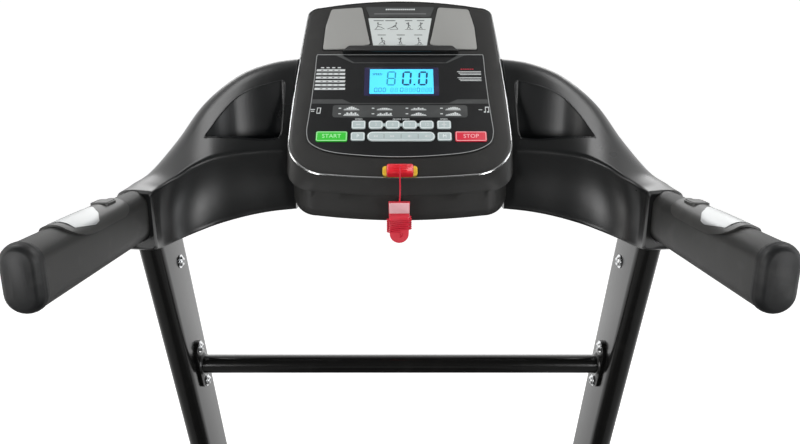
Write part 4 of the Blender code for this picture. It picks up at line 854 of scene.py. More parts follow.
figures = []
for x, u, joints in (
    (-0.0330, 0.2560, ((0, 9, 0, 5), (0, 5, -3, 0), (0, 5, 5, 3), (5, 3, 9, 0), (0, 8, 5, 8))),
    (-0.0100, 0.2560, ((4, 9, 3, 5), (3, 5, -4, 2), (-4, 2, -8, 0), (3, 5, 6, 0), (4, 8, -1, 4))),
    (0.0125, 0.2560, ((0, 9, 0, 4), (0, 4, -2, 0), (0, 4, 3, 0), (0, 8, -3, 11), (0, 8, 3, 5))),
    (0.0310, 0.2560, ((0, 9, 0, 4), (0, 4, -2, 0), (0, 4, 2, 0), (0, 8, 3, 11), (0, 8, -3, 5))),
    (-0.0270, 0.2265, ((0, 9, 1, 5), (1, 5, -3, 1), (1, 5, 4, 0), (0, 8, 4, 6), (4, 6, 4, 0))),
    (0.0010, 0.2265, ((0, 9, 0, 5), (0, 5, 2, 0), (0, 5, -2, 3), (-2, 3, 0, 0), (0, 8, -4, 10))),
    (0.0270, 0.2265, ((0, 9, 1, 4), (1, 4, -1, 0), (1, 4, 4, 2), (4, 2, 3, 0), (0, 8, 3, 7))),
):
    size = 0.0011
    for a, b, c, d in joints:
        figures.append(limb((x + a * size, u + b * size), (x + c * size, u + d * size), 0.0009))
    figures.append([(x + joints[0][0] * size + a, u + 10.6 * size + b) for a, b in rounded(0.0026, 0.0026, 0.0012, 3)])
    figures.append(bar(x + 0.001, u - 0.0008, 0.0120, 0.0006))
figures += [bar(-0.0320 + 0.0175 * i, 0.2725, 0.0150, 0.0012) for i in range(2)]
figures += [bar(0.0130 + 0.0180 * i, 0.2725, 0.0110, 0.0012) for i in range(2)]
figures += [bar(x, 0.2445, 0.0120, 0.0011) for x in (-0.0270, 0.0010, 0.0270)]
label_ink = look("label_ink", (0.03, 0.032, 0.035), 0.5, grain=2600, depth=0.1)
printed("stretch_figures", figures, label_ink, 0.0009, 0.00098)

ledge = [(-0.0835, 0.2068), (0.0850, 0.2068), (0.0840, 0.2098), (0.0760, 0.2188), (-0.0745, 0.2188),
         (-0.0825, 0.2098)]
ledge_gloss = look("ledge_gloss", (0.006, 0.0065, 0.0065), 0.24, coat=0.5, grain=1500, depth=0.08, worn=0.02)
face_plate("book_ledge", cut_corners(ledge, 0.003), ((0.0003, 0), (0.0062, 0), (0.0078, 0.0006), (0.0083, 0.0018)),
           ledge_gloss)


# ---- Arms with bottle pockets -------------------------------------------------------------------------------------
# Each arm is one gloss black moulding that sweeps from a collar on the handlebar to the console's side. Its sloping top
# holds a deep polished pocket for a bottle, with a rolled lip, and its front wall is dished. The pocket's walls and lip
# are coloured darker than the arm: painted shade of the deep pocket.
ARM_STATIONS = (
    ((0.3015, 0.2560), (0.3470, 0.2560), 0.9560, 1.0310, 1.0370, 0.9580),
    ((0.2990, 0.2760), (0.3480, 0.2960), 0.9532, 1.0330, 1.0400, 0.9580),
    ((0.2890, 0.2960), (0.3400, 0.3460), 0.9562, 1.0410, 1.0500, 0.9610),
    ((0.2700, 0.3140), (0.3180, 0.3980), 0.9625, 1.0540, 1.0860, 0.9670),
    ((0.2440, 0.3280), (0.2860, 0.4300), 0.9706, 1.0640, 1.1340, 0.9740),
    ((0.2100, 0.3400), (0.2380, 0.4520), 0.9785, 1.0680, 1.1720, 0.9800),
    ((0.1780, 0.3500), (0.1880, 0.4640), 0.9830, 1.0690, 1.1900, 0.9840),
    ((0.1450, 0.3580), (0.1450, 0.4700), 0.9850, 1.0680, 1.1960, 0.9860),
)
LEAN, HANDLE_X, HANDLE_Z, RAIL_X = math.radians(17.5), 0.325, 1.0, 0.323


def eased(values, t):
    """Catmull-Rom reading of a list of numbers at t, from 0 to the last index."""
    i = min(int(t), len(values) - 2)
    s = t - i
    p0, p1, p2 = values[max(i - 1, 0)], values[i], values[i + 1]
    p3 = values[min(i + 2, len(values) - 1)]
    return 0.5 * (2 * p1 + (p2 - p0) * s + (2 * p0 - 5 * p1 + 4 * p2 - p3) * s * s + (3 * p1 - p0 - 3 * p2 + p3) * s**3)


def soft_corners(path, radii, steps, reach=0.45):
    """Rounds each corner of a closed path by a short curve. A radius of 0 leaves the corner sharp."""
    points = []
    for i, (corner, radius) in enumerate(zip(path, radii)):
        here = Vector(corner)
        if not radius:
            points.append(tuple(here))
            continue
        before, after = Vector(path[i - 1]) - here, Vector(path[(i + 1) % len(path)]) - here
        a = here + before.normalized() * min(radius, before.length * reach)
        b = here + after.normalized() * min(radius, after.length * reach)
        for k in range(steps + 1):
            s = k / steps
            points.append(tuple(a * (1 - s) ** 2 + here * 2 * s * (1 - s) + b * s * s))
    return points


def arm_section(t):
    columns = list(zip(*[(*front, *back, *heights) for front, back, *heights in ARM_STATIONS]))
    fx, fy, bx, by, low, crest, top, back_low = (eased(column, t) for column in columns)
    bx = min(bx, 0.3478)
    depth = math.hypot(bx - fx, by - fy)
    dish = 0.0060 * min(t, 1.0)  # the front wall is hollowed in a shallow curve
    path = [(4 * dish * s * (1 - s), low + (crest - low) * s) for s in (0, 0.14, 0.29, 0.43, 0.57, 0.71, 0.86, 1)]
    path += [(0.66 * depth, top - 0.0030), (depth, top - 0.0090), (depth, back_low)]
    points = soft_corners(path, (0.010, *[0.02] * 6, 0.005, 0.022, 0.012, 0.010), 5)
    return [(fx + (bx - fx) * d / depth, fy + (by - fy) * d / depth, z) for d, z in points]


def stadium(width, height, steps=14):
    """An upright slot shape round the origin, as (a, b) points."""
    r = width / 2
    turns = [math.pi * i / steps for i in range(steps + 1)]
    top = [(r * math.cos(t), height / 2 - r + r * math.sin(t)) for t in turns]
    return top + [(-a, -b) for a, b in top]


def upright_y(z):
    return 0.600 - (z - 0.068) * math.tan(LEAN)


arm_gloss = look("arm_gloss", (0.0085, 0.0090, 0.0092), 0.30, coat=0.25, coat_rough=0.30, grain=1200, depth=0.07,
                 worn=0.012)
# Darker than the arm's own moulding: painted shade in the deep pocket.
pocket_shade_gloss = look("pocket_shade_gloss", (0.0035, 0.0042, 0.0048), 0.30, coat=0.15, coat_rough=0.30, grain=500, depth=0.03,
                    worn=0.006)
POCKET = ((0.1635, 0.3640), (0.1900, 0.3562), (0.2330, 0.3507), (0.2640, 0.3520), (0.2450, 0.3772), (0.2200, 0.3953),
          (0.1620, 0.4108))
POCKET_RADII = (0.005, 0.03, 0.03, 0.004, 0.02, 0.03, 0.008)
for side, sign in SIDES:
    rings = [[(sign * x, y, z) for x, y, z in arm_section(7 * i / 56)] for i in range(57)]
    mid = sum((Vector(p) for p in rings[0]), Vector()) / len(rings[0])
    mouth_rings = []  # the collar's chamfered mouth
    for forward, share in ((0.0064, 0.905), (0.0058, 0.93), (0.0010, 0.985)):
        mouth_rings.append([mid + (Vector(p) - mid) * share - Vector((0, forward, 0)) for p in rings[0]])
    rings = mouth_rings + rings
    arm = piece(f"arm_{side}_moulding", lofted(rings), arm_gloss, "frame", (f"arm_{side}",), sharp=34)
    surface = BVHTree.FromPolygons([v.co.copy() for v in arm.data.vertices],
                                   [p.vertices[:] for p in arm.data.polygons])
    outline = soft_corners(POCKET, POCKET_RADII, 8)
    pocket = [[(sign * x, y, z) for x, y in outline] for z in (1.008, 1.25)]
    tube = [[(sign * HANDLE_X + a, y, HANDLE_Z + b) for a, b in stadium(0.0372, 0.0652)] for y in (0.20, 0.3512)]
    post = [[(sign * RAIL_X + a, upright_y(z) + b / math.cos(LEAN), z) for a, b in stadium(0.0332, 0.0932)]
            for z in (0.90, 0.9950)]
    for rings in (tube, post):
        cut_with(arm, lofted(rings))
    cut_with(arm, lofted([face_ring(n, -0.010, FACE_LENGTH + 0.004, -0.0012) for n in (0.010, -0.0165)]))
    body = [face_ring(n, lower_edge(n) - SHIFT - 0.0006, FACE_LENGTH, STEP - 0.0012) for n in (-0.0150, -0.080)]
    cut_with(arm, lofted(body))
    cut_with(arm, lofted(pocket), pocket_shade_gloss)
    arm.data.shade_smooth()
    arm.data.set_sharp_from_angle(angle=math.radians(30))
    # The rolled lip follows the pocket's mouth over the sloping top.
    mouth = []
    for x, y in outline:
        hit = surface.ray_cast(Vector((sign * x, y, 1.4)), Vector((0, 0, -1)))
        mouth.append((hit[0], hit[1]))
    lip = []
    centre = sum((p for p, _ in mouth), Vector()) / len(mouth)
    for p, up in mouth:
        out = (p - centre).cross(up).cross(up).normalized() * -1
        lip.append((p, up, out))
    rings = []
    for a, b in ((0.0, -0.0012), (0.0, 0.0006), (0.0007, 0.0011), (0.0018, 0.0009), (0.0026, 0.0001),
                 (0.0026, -0.0012)):
        rings.append([p + out * a + up * b for p, up, out in lip])
    # The lip takes the pocket's darker colour, the same painted shade.
    piece(f"pocket_lip_{side}", band(rings), pocket_shade_gloss, "frame")


# ---- Handlebars, caps and pulse grips -----------------------------------------------------------------------------
# Flat-sided steel tubes in a charcoal skin, closed by a domed black plug. A moulded saddle on top of each carries a
# polished steel pulse plate with a pointed end, and one soft key.
handle_skin = look("handle_skin", (0.019, 0.019, 0.018), 0.52, grain=1300, depth=0.30, patchy=0.2, worn=0.04)
cap_rubber = look("cap_rubber", (0.0075, 0.008, 0.0085), 0.45, grain=1500, depth=0.12, worn=0.05)
grip_plastic = look("grip_plastic", (0.050, 0.050, 0.048), 0.38, grain=1400, depth=0.16, worn=0.06)
plate_steel = look("plate_steel", (0.50, 0.51, 0.51), 0.42, metal=1.0, grain=700, depth=0.06, patchy=0.3, worn=0.02)
KEY_Y = 0.178
key_rubber = look("handle_key_rubber", (0.09, 0.09, 0.088), 0.42, grain=1600, depth=0.12)


def saddle(x, stations, lift, thick):
    """A shell over the handlebar's round top. Each station is (y, half angle from the top)."""
    rings = []
    mid = HANDLE_Z + 0.032 - 0.018
    for y, half in stations:
        ring = []
        for radius, order in ((0.0183 + lift + thick, 1), (0.0183 + lift, -1)):
            arc = [(radius * math.sin(half * k / 12), mid + radius * math.cos(half * k / 12)) for k in range(-12, 13)]
            ring += [(x + a, y, z) for a, z in arc[::order]]
        rings.append(ring)
    return lofted(rings)


for side, sign in SIDES:
    x = sign * HANDLE_X
    rings = [[(x + a, y, HANDLE_Z + b) for a, b in stadium(0.036 - 2 * inset, 0.064 - 2 * inset)]
             for y, inset in ((0.0258, 0.0006), (0.0264, 0), (0.349, 0), (0.350, 0.0008))]
    piece(f"handlebar_{side}_tube", lofted(rings), handle_skin, "frame", (f"handlebar_{side}",))
    dome = [(0.0, 0.0000), (-0.0004, 0.0006), (-0.0030, 0.0006), (-0.0036, 0.0003)]
    dome += [(-0.0036 - 0.0078 * math.sin(t), 0.0003 - 0.0080 * (1 - math.cos(t)))
             for t in (math.pi / 2 * k / 9 for k in range(1, 10))] + [(-0.0123, -0.0110)]
    rings = [[(x + a, 0.0255 + y, HANDLE_Z + b) for a, b in stadium(0.036 + 2 * grow, 0.064 + 2 * grow)]
             for y, grow in dome]
    piece(f"handle_cap_{side}_plug", lofted(rings), cap_rubber, "frame", (f"handle_cap_{side}",),
          sharp=50)
    stations = ((0.0750, 0.62), (0.0790, 0.90), (0.0860, 1.12), (0.0960, 1.30), (0.1080, 1.42), (0.1250, 1.46),
                (0.1850, 1.46), (0.1950, 1.30), (0.2010, 1.05))
    grip = piece(f"pulse_grip_{side}_saddle", saddle(x, stations, 0.0, 0.0022), grip_plastic, "frame",
                 (f"pulse_grip_{side}",), sharp=45)
    # The key's hole is cut with near-black walls: painted shade in the gap round the key.
    hole = [[(x + a, KEY_Y + b, z) for a, b in rounded(0.0172, 0.0212, 0.0034)] for z in (1.0290, 1.050)]
    cut_with(grip, lofted(hole), painted_shade_black)
    plate = ((0.0850, 0.50), (0.0865, 0.80), (0.1200, 1.10), (0.1290, 1.02), (0.1400, 0.62), (0.1500, 0.12))
    piece(f"pulse_plate_{side}", saddle(x, plate, 0.0023, 0.0005), plate_steel, "frame", sharp=45)
    rings = [[(x + a, KEY_Y + b, z) for a, b in rounded(0.016 - 2 * d, 0.020 - 2 * d, 0.003 - d)]
             for z, d in ((1.0331, 0), (1.0350, 0), (1.0356, 0.0003), (1.0359, 0.0012), (1.0355, 0.0030))]
    key = f"handle_key_{side}"
    piece(f"{key}_cap", lofted(rings), key_rubber, key, (key,))
    rim = [[(x + a, KEY_Y + b, z) for a, b in rounded(0.0176 + 2 * d, 0.0216 + 2 * d, 0.0036 + d)]
           for z, d in ((1.0322, 0), (1.0349, 0), (1.0353, 0.0004), (1.0349, 0.0012), (1.0322, 0.0013))]
    piece(f"handle_key_rim_{side}", band(rim), grip_plastic, "frame")


# ---- Uprights, crossbar and their bolts ---------------------------------------------------------------------------
# Two flat-sided steel tubes in semi-gloss black paint lean back towards the runner. A round crossbar is welded to a
# plate at each end, and chrome button-head bolts hold the plates and the arms' collars to them.
black_paint = look("black_paint", (0.0045, 0.0045, 0.0042), 0.24, coat=0.35, coat_rough=0.12, grain=1100, depth=0.06,
                   worn=0.012)
chrome = look("chrome", (0.80, 0.81, 0.82), 0.10, metal=1.0, grain=500, depth=0.03, patchy=0.3, worn=0.03)
BAR_Z = 0.735
BAR_Y, BAR_FACE = upright_y(BAR_Z), 0.3067
for side, sign in SIDES:
    rings = [[(sign * RAIL_X + a, upright_y(z) + b / math.cos(LEAN), z) for a, b in stadium(0.032, 0.092)]
             for z in (0.0683, 0.52, 0.9677)]
    piece(f"upright_{side}_tube", lofted(rings), black_paint, "frame", (f"upright_{side}",))


def turned_about_x(outline, lean):
    return [(a * math.cos(lean) - b * math.sin(lean), a * math.sin(lean) + b * math.cos(lean)) for a, b in outline]


bar_bm = bmesh.new()
bmesh.ops.create_cone(bar_bm, cap_ends=True, segments=48, radius1=0.014, radius2=0.014, depth=2 * BAR_FACE - 0.004,
                      matrix=Matrix.Translation((0, BAR_Y, BAR_Z)) @ Matrix.Rotation(math.pi / 2, 4, "Y"))
for side, sign in SIDES:
    rings = [[(sign * x, BAR_Y + a, BAR_Z + b) for a, b in turned_about_x(stadium(0.034 - 2 * d, 0.084 - 2 * d), LEAN)]
             for x, d in ((BAR_FACE - 0.0040, 0.0005), (BAR_FACE - 0.0036, 0), (BAR_FACE, 0))]
    lofted(rings, bm=bar_bm)
    weld = [[(sign * x, BAR_Y + r * math.cos(t), BAR_Z + r * math.sin(t)) for t in (math.tau * k / 48 for k in range(48))]
            for x, r in ((BAR_FACE - 0.0068, 0.0142), (BAR_FACE - 0.0058, 0.0158), (BAR_FACE - 0.0038, 0.0178))]
    lofted(weld, bm=bar_bm)
piece("crossbar_tube", bar_bm, black_paint, "frame", ("crossbar",), sharp=50)


def bolt(bm, place, way, radius=0.0068, washer=0.0088):
    """A washer and a button head with a hexagon socket; way is the direction that the head points."""
    turn = Vector(way).to_track_quat("Z", "Y").to_matrix().to_4x4()
    stand = Matrix.Translation(place) @ turn
    for low, high, r0, r1 in ((0.0, 0.0012, washer, washer), (0.0012, 0.0022, radius, radius)):
        bmesh.ops.create_cone(bm, cap_ends=True, segments=32, radius1=r0, radius2=r1, depth=high - low,
                              matrix=stand @ Matrix.Translation((0, 0, (low + high) / 2)))
    rim = None
    profile = ((radius, 0.0022), (radius * 0.93, 0.0034), (radius * 0.74, 0.0046), (radius * 0.55, 0.0051))
    for (r0, z0), (r1, z1) in zip(profile, profile[1:]):
        rim = bmesh.ops.create_cone(bm, cap_ends=False, segments=32, radius1=r0, radius2=r1, depth=z1 - z0,
                                    matrix=stand @ Matrix.Translation((0, 0, (z0 + z1) / 2)))["verts"]
    top = [v for v in rim if (stand.inverted() @ v.co).z > 0.0050]
    ring = {e for v in top for e in v.link_edges if e.other_vert(v) in top}
    inner = bmesh.ops.create_circle(bm, cap_ends=False, segments=32, radius=radius * 0.36,
                                    matrix=stand @ Matrix.Translation((0, 0, 0.0051)))["verts"]
    deep = bmesh.ops.create_circle(bm, cap_ends=True, segments=32, radius=radius * 0.36,
                                   matrix=stand @ Matrix.Translation((0, 0, 0.0024)))["verts"]
    inner_ring = {e for v in inner for e in v.link_edges}
    deep_ring = {e for v in deep for e in v.link_edges}
    bmesh.ops.bridge_loops(bm, edges=list(ring | inner_ring))
    bmesh.ops.bridge_loops(bm, edges=list(inner_ring | deep_ring))


bolts_bm = bmesh.new()
for side, sign in SIDES:
    for z in (0.7015, 0.7685):
        bolt(bolts_bm, (sign * (BAR_FACE - 0.0039), BAR_Y - (z - BAR_Z) * math.tan(LEAN), z), (-sign, 0, 0))
    bolt(bolts_bm, (sign * 0.3071, 0.342, 0.915), (-sign, 0, 0), 0.0072, 0.0094)
    for z in (0.105, 0.150):
        bolt(bolts_bm, (sign * 0.3390, upright_y(z), z), (sign, 0, 0), 0.0072, 0.0094)
piece("upright_bolts", bolts_bm, chrome, "frame", sharp=32)


# ---- Base frame, feet and wheels ----------------------------------------------------------------------------------
# Square steel tubes welded into a base and painted like the uprights, with rubber pads under the rear ends. A rubber
# wheel with a moulded hub runs between two fork plates at each front corner.
for node in ("base_rail_l", "base_rail_r", "base_front_tube", "base_rear_tube", "deck_beam_l", "deck_beam_r", "motor_bed"):
    painted = nodes[node]
    for i in range(max(1, len(painted.material_slots))):
        if painted.material_slots:
            painted.material_slots[i].material = black_paint
        else:
            painted.data.materials.append(black_paint)
foot_rubber = look("foot_rubber", (0.014, 0.014, 0.014), 0.75, grain=900, depth=0.4, patchy=0.2, worn=0.25)
hub_plastic = look("hub_plastic", (0.11, 0.11, 0.11), 0.5, grain=1300, depth=0.2, worn=0.1)
for side, sign in SIDES:
    x = sign * RAIL_X
    rings = [[(x + a, 0.012 + b, z) for a, b in rounded(0.036 - 2 * d, 0.050 - 2 * d, 0.008 - d)]
             for z, d in ((0.0, 0.0015), (0.0012, 0), (0.0070, 0), (0.0080, 0.0012), (0.0100, 0.0012), (0.0110, 0), (0.0197, 0))]
    piece(f"base_foot_{side}_pad", lofted(rings), foot_rubber, "frame", (f"base_foot_{side}",))
    rings = [[(x + a, y, 0.044 + b) for a, b in rounded(0.0356 - 2 * d, 0.0436 - 2 * d, 0.004)]
             for y, d in ((-0.0100, 0.0), (-0.0192, 0.0), (-0.0198, 0.0006))]
    piece(f"rail_plug_{side}", lofted(rings), grip_plastic, "frame")
    profile = [(0.0048, -0.0088), (0.0125, -0.0088), (0.0130, -0.0100), (0.0205, -0.0105), (0.0215, -0.0110),
               (0.0244, -0.0104), (0.0256, -0.0088), (0.0260, -0.0060), (0.0260, -0.0012), (0.0254, 0.0)]
    rows = profile + [(r, -w) for r, w in profile[-2::-1]]
    wheel_bm = bmesh.new()
    verts = [wheel_bm.verts.new((x + w, 0.774 + r, 0.026)) for r, w in rows]
    edges = [wheel_bm.edges.new(pair) for pair in zip(verts, verts[1:] + verts[:1])]
    bmesh.ops.spin(wheel_bm, geom=verts + edges, cent=(x, 0.774, 0.026), axis=(1, 0, 0), angle=math.tau, steps=48,
                   use_merge=True)
    wheel = piece(f"wheel_{side}_tyre", wheel_bm, foot_rubber, f"transport_wheel_{side}", (f"transport_wheel_{side}",),
                  sharp=30)
    wheel.data.materials.append(hub_plastic)
    for face in wheel.data.polygons:
        if math.hypot(face.center.y - 0.774, face.center.z - 0.026) < 0.0200:
            face.material_index = 1
bolts_bm = bmesh.new()
for side, sign in SIDES:
    for out in (1, -1):
        bolt(bolts_bm, (sign * RAIL_X + out * 0.0196, 0.774, 0.026), (out, 0, 0), 0.0050, 0.0066)
    bolt(bolts_bm, (sign * 0.3046, 0.520, 0.110), (sign, 0, 0), 0.0090, 0.0120)
    bolt(bolts_bm, (sign * 0.2522, 0.520, 0.110), (-sign, 0, 0), 0.0060, 0.0078)
piece("base_bolts", bolts_bm, steel_dark, "frame", sharp=32)


# ---- Strut --------------------------------------------------------------------------------------------------------
# The gas strut under the deck's left beam: a satin black cylinder pinned to the base, and a hard chromed rod. A wiper
# seal closes the cylinder's mouth, and a blackened steel collar stands at its lower end.
strut_paint = look("strut_paint", (0.008, 0.008, 0.008), 0.30, coat=0.2, grain=1200, depth=0.08, worn=0.03)
for node, finish in (("strut_cylinder", strut_paint), ("strut_rod", chrome)):
    if not nodes[node].material_slots:
        nodes[node].data.materials.append(finish)
    for held in nodes[node].material_slots:
        held.material = finish
    nodes[node].data.shade_smooth()
strut_base, strut_deck = Vector((-0.2655, 0.215, 0.045)), Vector((-0.2655, -0.330, 0.066))
strut_way = (strut_deck - strut_base).normalized()
strut_length = (strut_deck - strut_base).length
strut_side = Vector((0, -strut_way.z, strut_way.y))


def round_strut(profile, count=32):
    """Rings round the strut's own line: each is (distance from its lower pin, radius)."""
    rings = []
    for distance, radius in profile:
        middle = strut_base + strut_way * distance
        rings.append([middle + Vector((radius * math.cos(t), 0, 0)) + strut_side * radius * math.sin(t)
                      for t in (math.tau * k / count for k in range(count))])
    return rings


mouth = strut_length - 0.075
seal = round_strut(((mouth - 0.010, 0.0106), (mouth - 0.010, 0.0118), (mouth, 0.0118), (mouth + 0.002, 0.0108),
                    (mouth + 0.0024, 0.0056), (mouth - 0.010, 0.0056)))
piece("strut_wiper_seal", band(seal), foot_rubber, "strut_cylinder")
collar = round_strut(((0.060, 0.0107), (0.060, 0.0117), (0.085, 0.0117), (0.085, 0.0107)))
piece("strut_collar", band(collar), steel_dark, "strut_cylinder")


# ---- Deck: board, belt and rollers --------------------------------------------------------------------------------
# A black-faced fibreboard, waxed on top, lies on the two beams. A two-ply belt with a diamond tread runs round it over
# turned steel rollers.
def tread(name, color, size, deep):
    """A belt's diamond tread: crossed fine ribs, slightly dusty."""
    finish = look(name, color, 0.66, grain=1500, depth=0.25, patchy=0.35, worn=0.06)
    tree = finish.node_tree
    new, link = tree.nodes.new, tree.links.new
    place, skin = new("ShaderNodeTexCoord"), next(n for n in tree.nodes if n.type == "GROUP")
    shader, bump = tree.nodes["Principled BSDF"], next(n for n in tree.nodes if n.type == "BUMP")
    waves = []
    for turn in (math.radians(32), math.radians(-32)):
        turned, wave = new("ShaderNodeMapping"), new("ShaderNodeTexWave")
        turned.inputs["Rotation"].default_value = (0, 0, turn)
        turned.inputs["Scale"].default_value = (size, size, size)
        link(place.outputs["Object"], turned.inputs["Vector"])
        link(turned.outputs["Vector"], wave.inputs["Vector"])
        wave.inputs["Scale"].default_value = 1.0
        waves.append(wave)
    both = new("ShaderNodeMath")
    both.operation = "MINIMUM"
    link(waves[0].outputs["Fac"], both.inputs[0])
    link(waves[1].outputs["Fac"], both.inputs[1])
    total = new("ShaderNodeMath")
    total.operation = "MULTIPLY_ADD"
    link(both.outputs[0], total.inputs[0])
    total.inputs[1].default_value = deep
    link(skin.outputs["Height"], total.inputs[2])
    link(total.outputs[0], bump.inputs["Height"])
    bump.inputs["Strength"].default_value = 0.5
    bump.inputs["Distance"].default_value = 0.0006
    return finish


belt_tread = tread("belt_tread", (0.017, 0.017, 0.018), 110, 2.2)
board_finish = look("board_laminate", (0.030, 0.022, 0.016), 0.5, grain=300, depth=0.3, patchy=0.4, worn=0.1)
turned_steel = look("turned_steel", (0.48, 0.48, 0.47), 0.34, metal=1.0, grain=700, depth=0.12, patchy=0.4, worn=0.1)
drive_rubber = look("drive_belt_rubber", (0.012, 0.012, 0.012), 0.6, grain=900, depth=0.3)
motor_paint = look("motor_enamel", (0.020, 0.020, 0.021), 0.38, coat=0.2, grain=900, depth=0.15, worn=0.05)
pulley_iron = look("pulley_iron", (0.20, 0.20, 0.20), 0.45, metal=0.9, grain=900, depth=0.2, worn=0.15)
for node, finish in (("running_board", board_finish), ("drive_belt", drive_rubber), ("front_roller", turned_steel),
                     ("rear_roller", turned_steel), ("motor_pulley", pulley_iron)):
    if not nodes[node].material_slots:
        nodes[node].data.materials.append(finish)
    for held in nodes[node].material_slots:
        held.material = finish


def belt_path(radius, ends, count=24):
    """A closed loop round two equal rollers, as (y, z) points."""
    rear, front = ends
    path = [(rear + radius * math.cos(t), 0.1355 + radius * math.sin(t))
            for t in (math.pi / 2 + math.pi * k / count for k in range(count + 1))]
    steps = 24
    path += [(rear + (front - rear) * k / steps, 0.1355 - radius) for k in range(1, steps)]
    path += [(front + radius * math.cos(t), 0.1355 + radius * math.sin(t))
             for t in (-math.pi / 2 + math.pi * k / count for k in range(count + 1))]
    return path + [(front + (rear - front) * k / steps, 0.1355 + radius) for k in range(1, steps)]


outer, inner = belt_path(0.0248, (-0.745, 0.400)), belt_path(0.0229, (-0.745, 0.400))
rings = [[(x, y, z) for y, z in path] for x, path in ((-0.2, outer), (0.2, outer), (0.2, inner), (-0.2, inner))]
piece("belt_loop", band(rings), belt_tread, "deck", ("running_belt",), sharp=40)


# ---- Side rails, rear caps and deck feet --------------------------------------------------------------------------
# Ribbed grey-black plastic foot rails run along each side of the belt. A moulded cap closes the rear end of each and
# lets an Allen key reach the roller's tension screw.
rail_plastic = look("rail_plastic", (0.020, 0.020, 0.0205), 0.46, grain=1300, depth=0.28, worn=0.06)
rib_rubber = look("rib_rubber", (0.060, 0.060, 0.060), 0.62, grain=1000, depth=0.35, worn=0.1)
for side, sign in SIDES:
    section = [(0.2072, 0.1628), (0.2868, 0.1628), (0.2868, 0.0965), (0.2885, 0.0962), (0.2898, 0.0975),
               (0.2898, 0.1660), (0.2885, 0.1710), (0.2850, 0.1740), (0.2800, 0.1748), (0.2160, 0.1748),
               (0.2110, 0.1740), (0.2080, 0.1715), (0.2072, 0.1690)]
    rings = [[(sign * a, y, b) for a, b in section] for y in (-0.7378, 0.3428)]
    piece(f"side_rail_{side}_shell", lofted(rings), rail_plastic, "deck", (f"side_rail_{side}",),
          sharp=25)
    rib_bm = bmesh.new()
    for k in range(7):
        x = sign * (0.2230 + 0.0085 * k)
        rings = []
        for y, half, high in ((-0.700, 0.0010, 0.1746), (-0.694, 0.0019, 0.1749), (0.294, 0.0019, 0.1749),
                              (0.300, 0.0010, 0.1746)):
            crown = half * 0.7
            rings.append([(x - half, y, 0.1742), (x + half, y, 0.1742), (x + crown, y, high), (x - crown, y, high)])
        lofted(rings, bm=rib_bm)
    piece(f"side_rail_{side}_ribs", rib_bm, rib_rubber, "deck", sharp=25)
    cap_profile = [(0.0, 0.086), (0.0, 0.175), (0.0377, 0.175), (0.0460, 0.1735), (0.0525, 0.1690), (0.0580, 0.1600),
                   (0.0617, 0.1450), (0.0617, 0.0980), (0.0590, 0.0900), (0.0517, 0.086)]
    rings = [[(sign * x, -0.7383 - a * (1 - d * 6), 0.086 + (z - 0.086) * (1 - d * 6) + d * 1.5)
              for a, z in cap_profile]
             for x, d in ((0.2168, 0.0006), (0.2178, 0), (0.2870, 0), (0.2890, 0.0005), (0.2900, 0.0022))]
    cap = piece(f"rear_cap_{side}_moulding", lofted(rings), rail_plastic, "deck", (f"rear_cap_{side}",),
                sharp=28)
    # The cap's pocket, axle hole and screw well are cut with near-black walls: painted shade in the hollows.
    pocket = [[(sign * 0.2655 + a, y, 0.114 + b) for a, b in rounded(0.0312, 0.0512, 0.004)]
              for y in (-0.7790, -0.720)]
    cut_with(cap, lofted(pocket), painted_shade_black)
    axle = bmesh.new()
    bmesh.ops.create_cone(axle, cap_ends=True, segments=32, radius1=0.0095, radius2=0.0095, depth=0.056,
                          matrix=Matrix.Translation((sign * 0.2280, -0.745, 0.1355)) @ Matrix.Rotation(math.pi / 2, 4, "Y"))
    cut_with(cap, axle, painted_shade_black)
    well = bmesh.new()
    bmesh.ops.create_cone(well, cap_ends=True, segments=32, radius1=0.0062, radius2=0.0062, depth=0.020,
                          matrix=Matrix.Translation((sign * 0.2380, -0.800, 0.1355)) @ Matrix.Rotation(math.pi / 2, 4, "X"))
    cut_with(cap, well, painted_shade_black)
    cap.data.shade_smooth()
    cap.data.set_sharp_from_angle(angle=math.radians(28))
    screw_bm = bmesh.new()
    bolt(screw_bm, (sign * 0.2380, -0.7899, 0.1355), (0, -1, 0), 0.0042, 0.0052)
    piece(f"tension_screw_{side}", screw_bm, steel_dark, "deck", sharp=32)
    profile = ((0.0, 0.0200), (0.0015, 0.0220), (0.0100, 0.0220), (0.0115, 0.0208), (0.0140, 0.0208), (0.0155, 0.0220),
               (0.0240, 0.0220), (0.0255, 0.0208), (0.0280, 0.0208), (0.0295, 0.0220), (0.0885, 0.0220))
    rings = [[(sign * 0.2655 + r * math.cos(t), -0.700 + r * math.sin(t), z)
              for t in (math.tau * k / 40 for k in range(40))] for z, r in profile]
    piece(f"deck_foot_{side}_pad", lofted(rings), foot_rubber, "deck", (f"deck_foot_{side}",), sharp=40)


# ---- Motor, its controller and drive ------------------------------------------------------------------------------
# A direct-current motor with cooling ribs and a clamped end bell stands on the motor bed. A finned controller board
# beside it feeds it, and a ribbed belt drives the front roller.
motor_bm = bmesh.new()
motor_rows = ((-0.2045, 0.020), (-0.2010, 0.0300), (-0.1990, 0.0375), (-0.1950, 0.0408), (-0.1900, 0.0418),
              (-0.1700, 0.0418), (-0.1696, 0.0400), (-0.1664, 0.0400), (-0.1660, 0.0418), (-0.0900, 0.0418),
              (-0.0896, 0.0400), (-0.0864, 0.0400), (-0.0860, 0.0418), (-0.0640, 0.0418), (-0.0600, 0.0405),
              (-0.0560, 0.0370), (-0.0520, 0.0280), (-0.0500, 0.0190))
lofted([[(x, 0.510 + r * math.cos(t), 0.183 + r * math.sin(t)) for t in (math.tau * k / 48 for k in range(48))]
        for x, r in motor_rows], bm=motor_bm)
saddle_rings = [[(-0.1275 + a, 0.510 + b, z) for a, b in rounded(0.105, 0.060, 0.004)] for z in (0.0953, 0.150)]
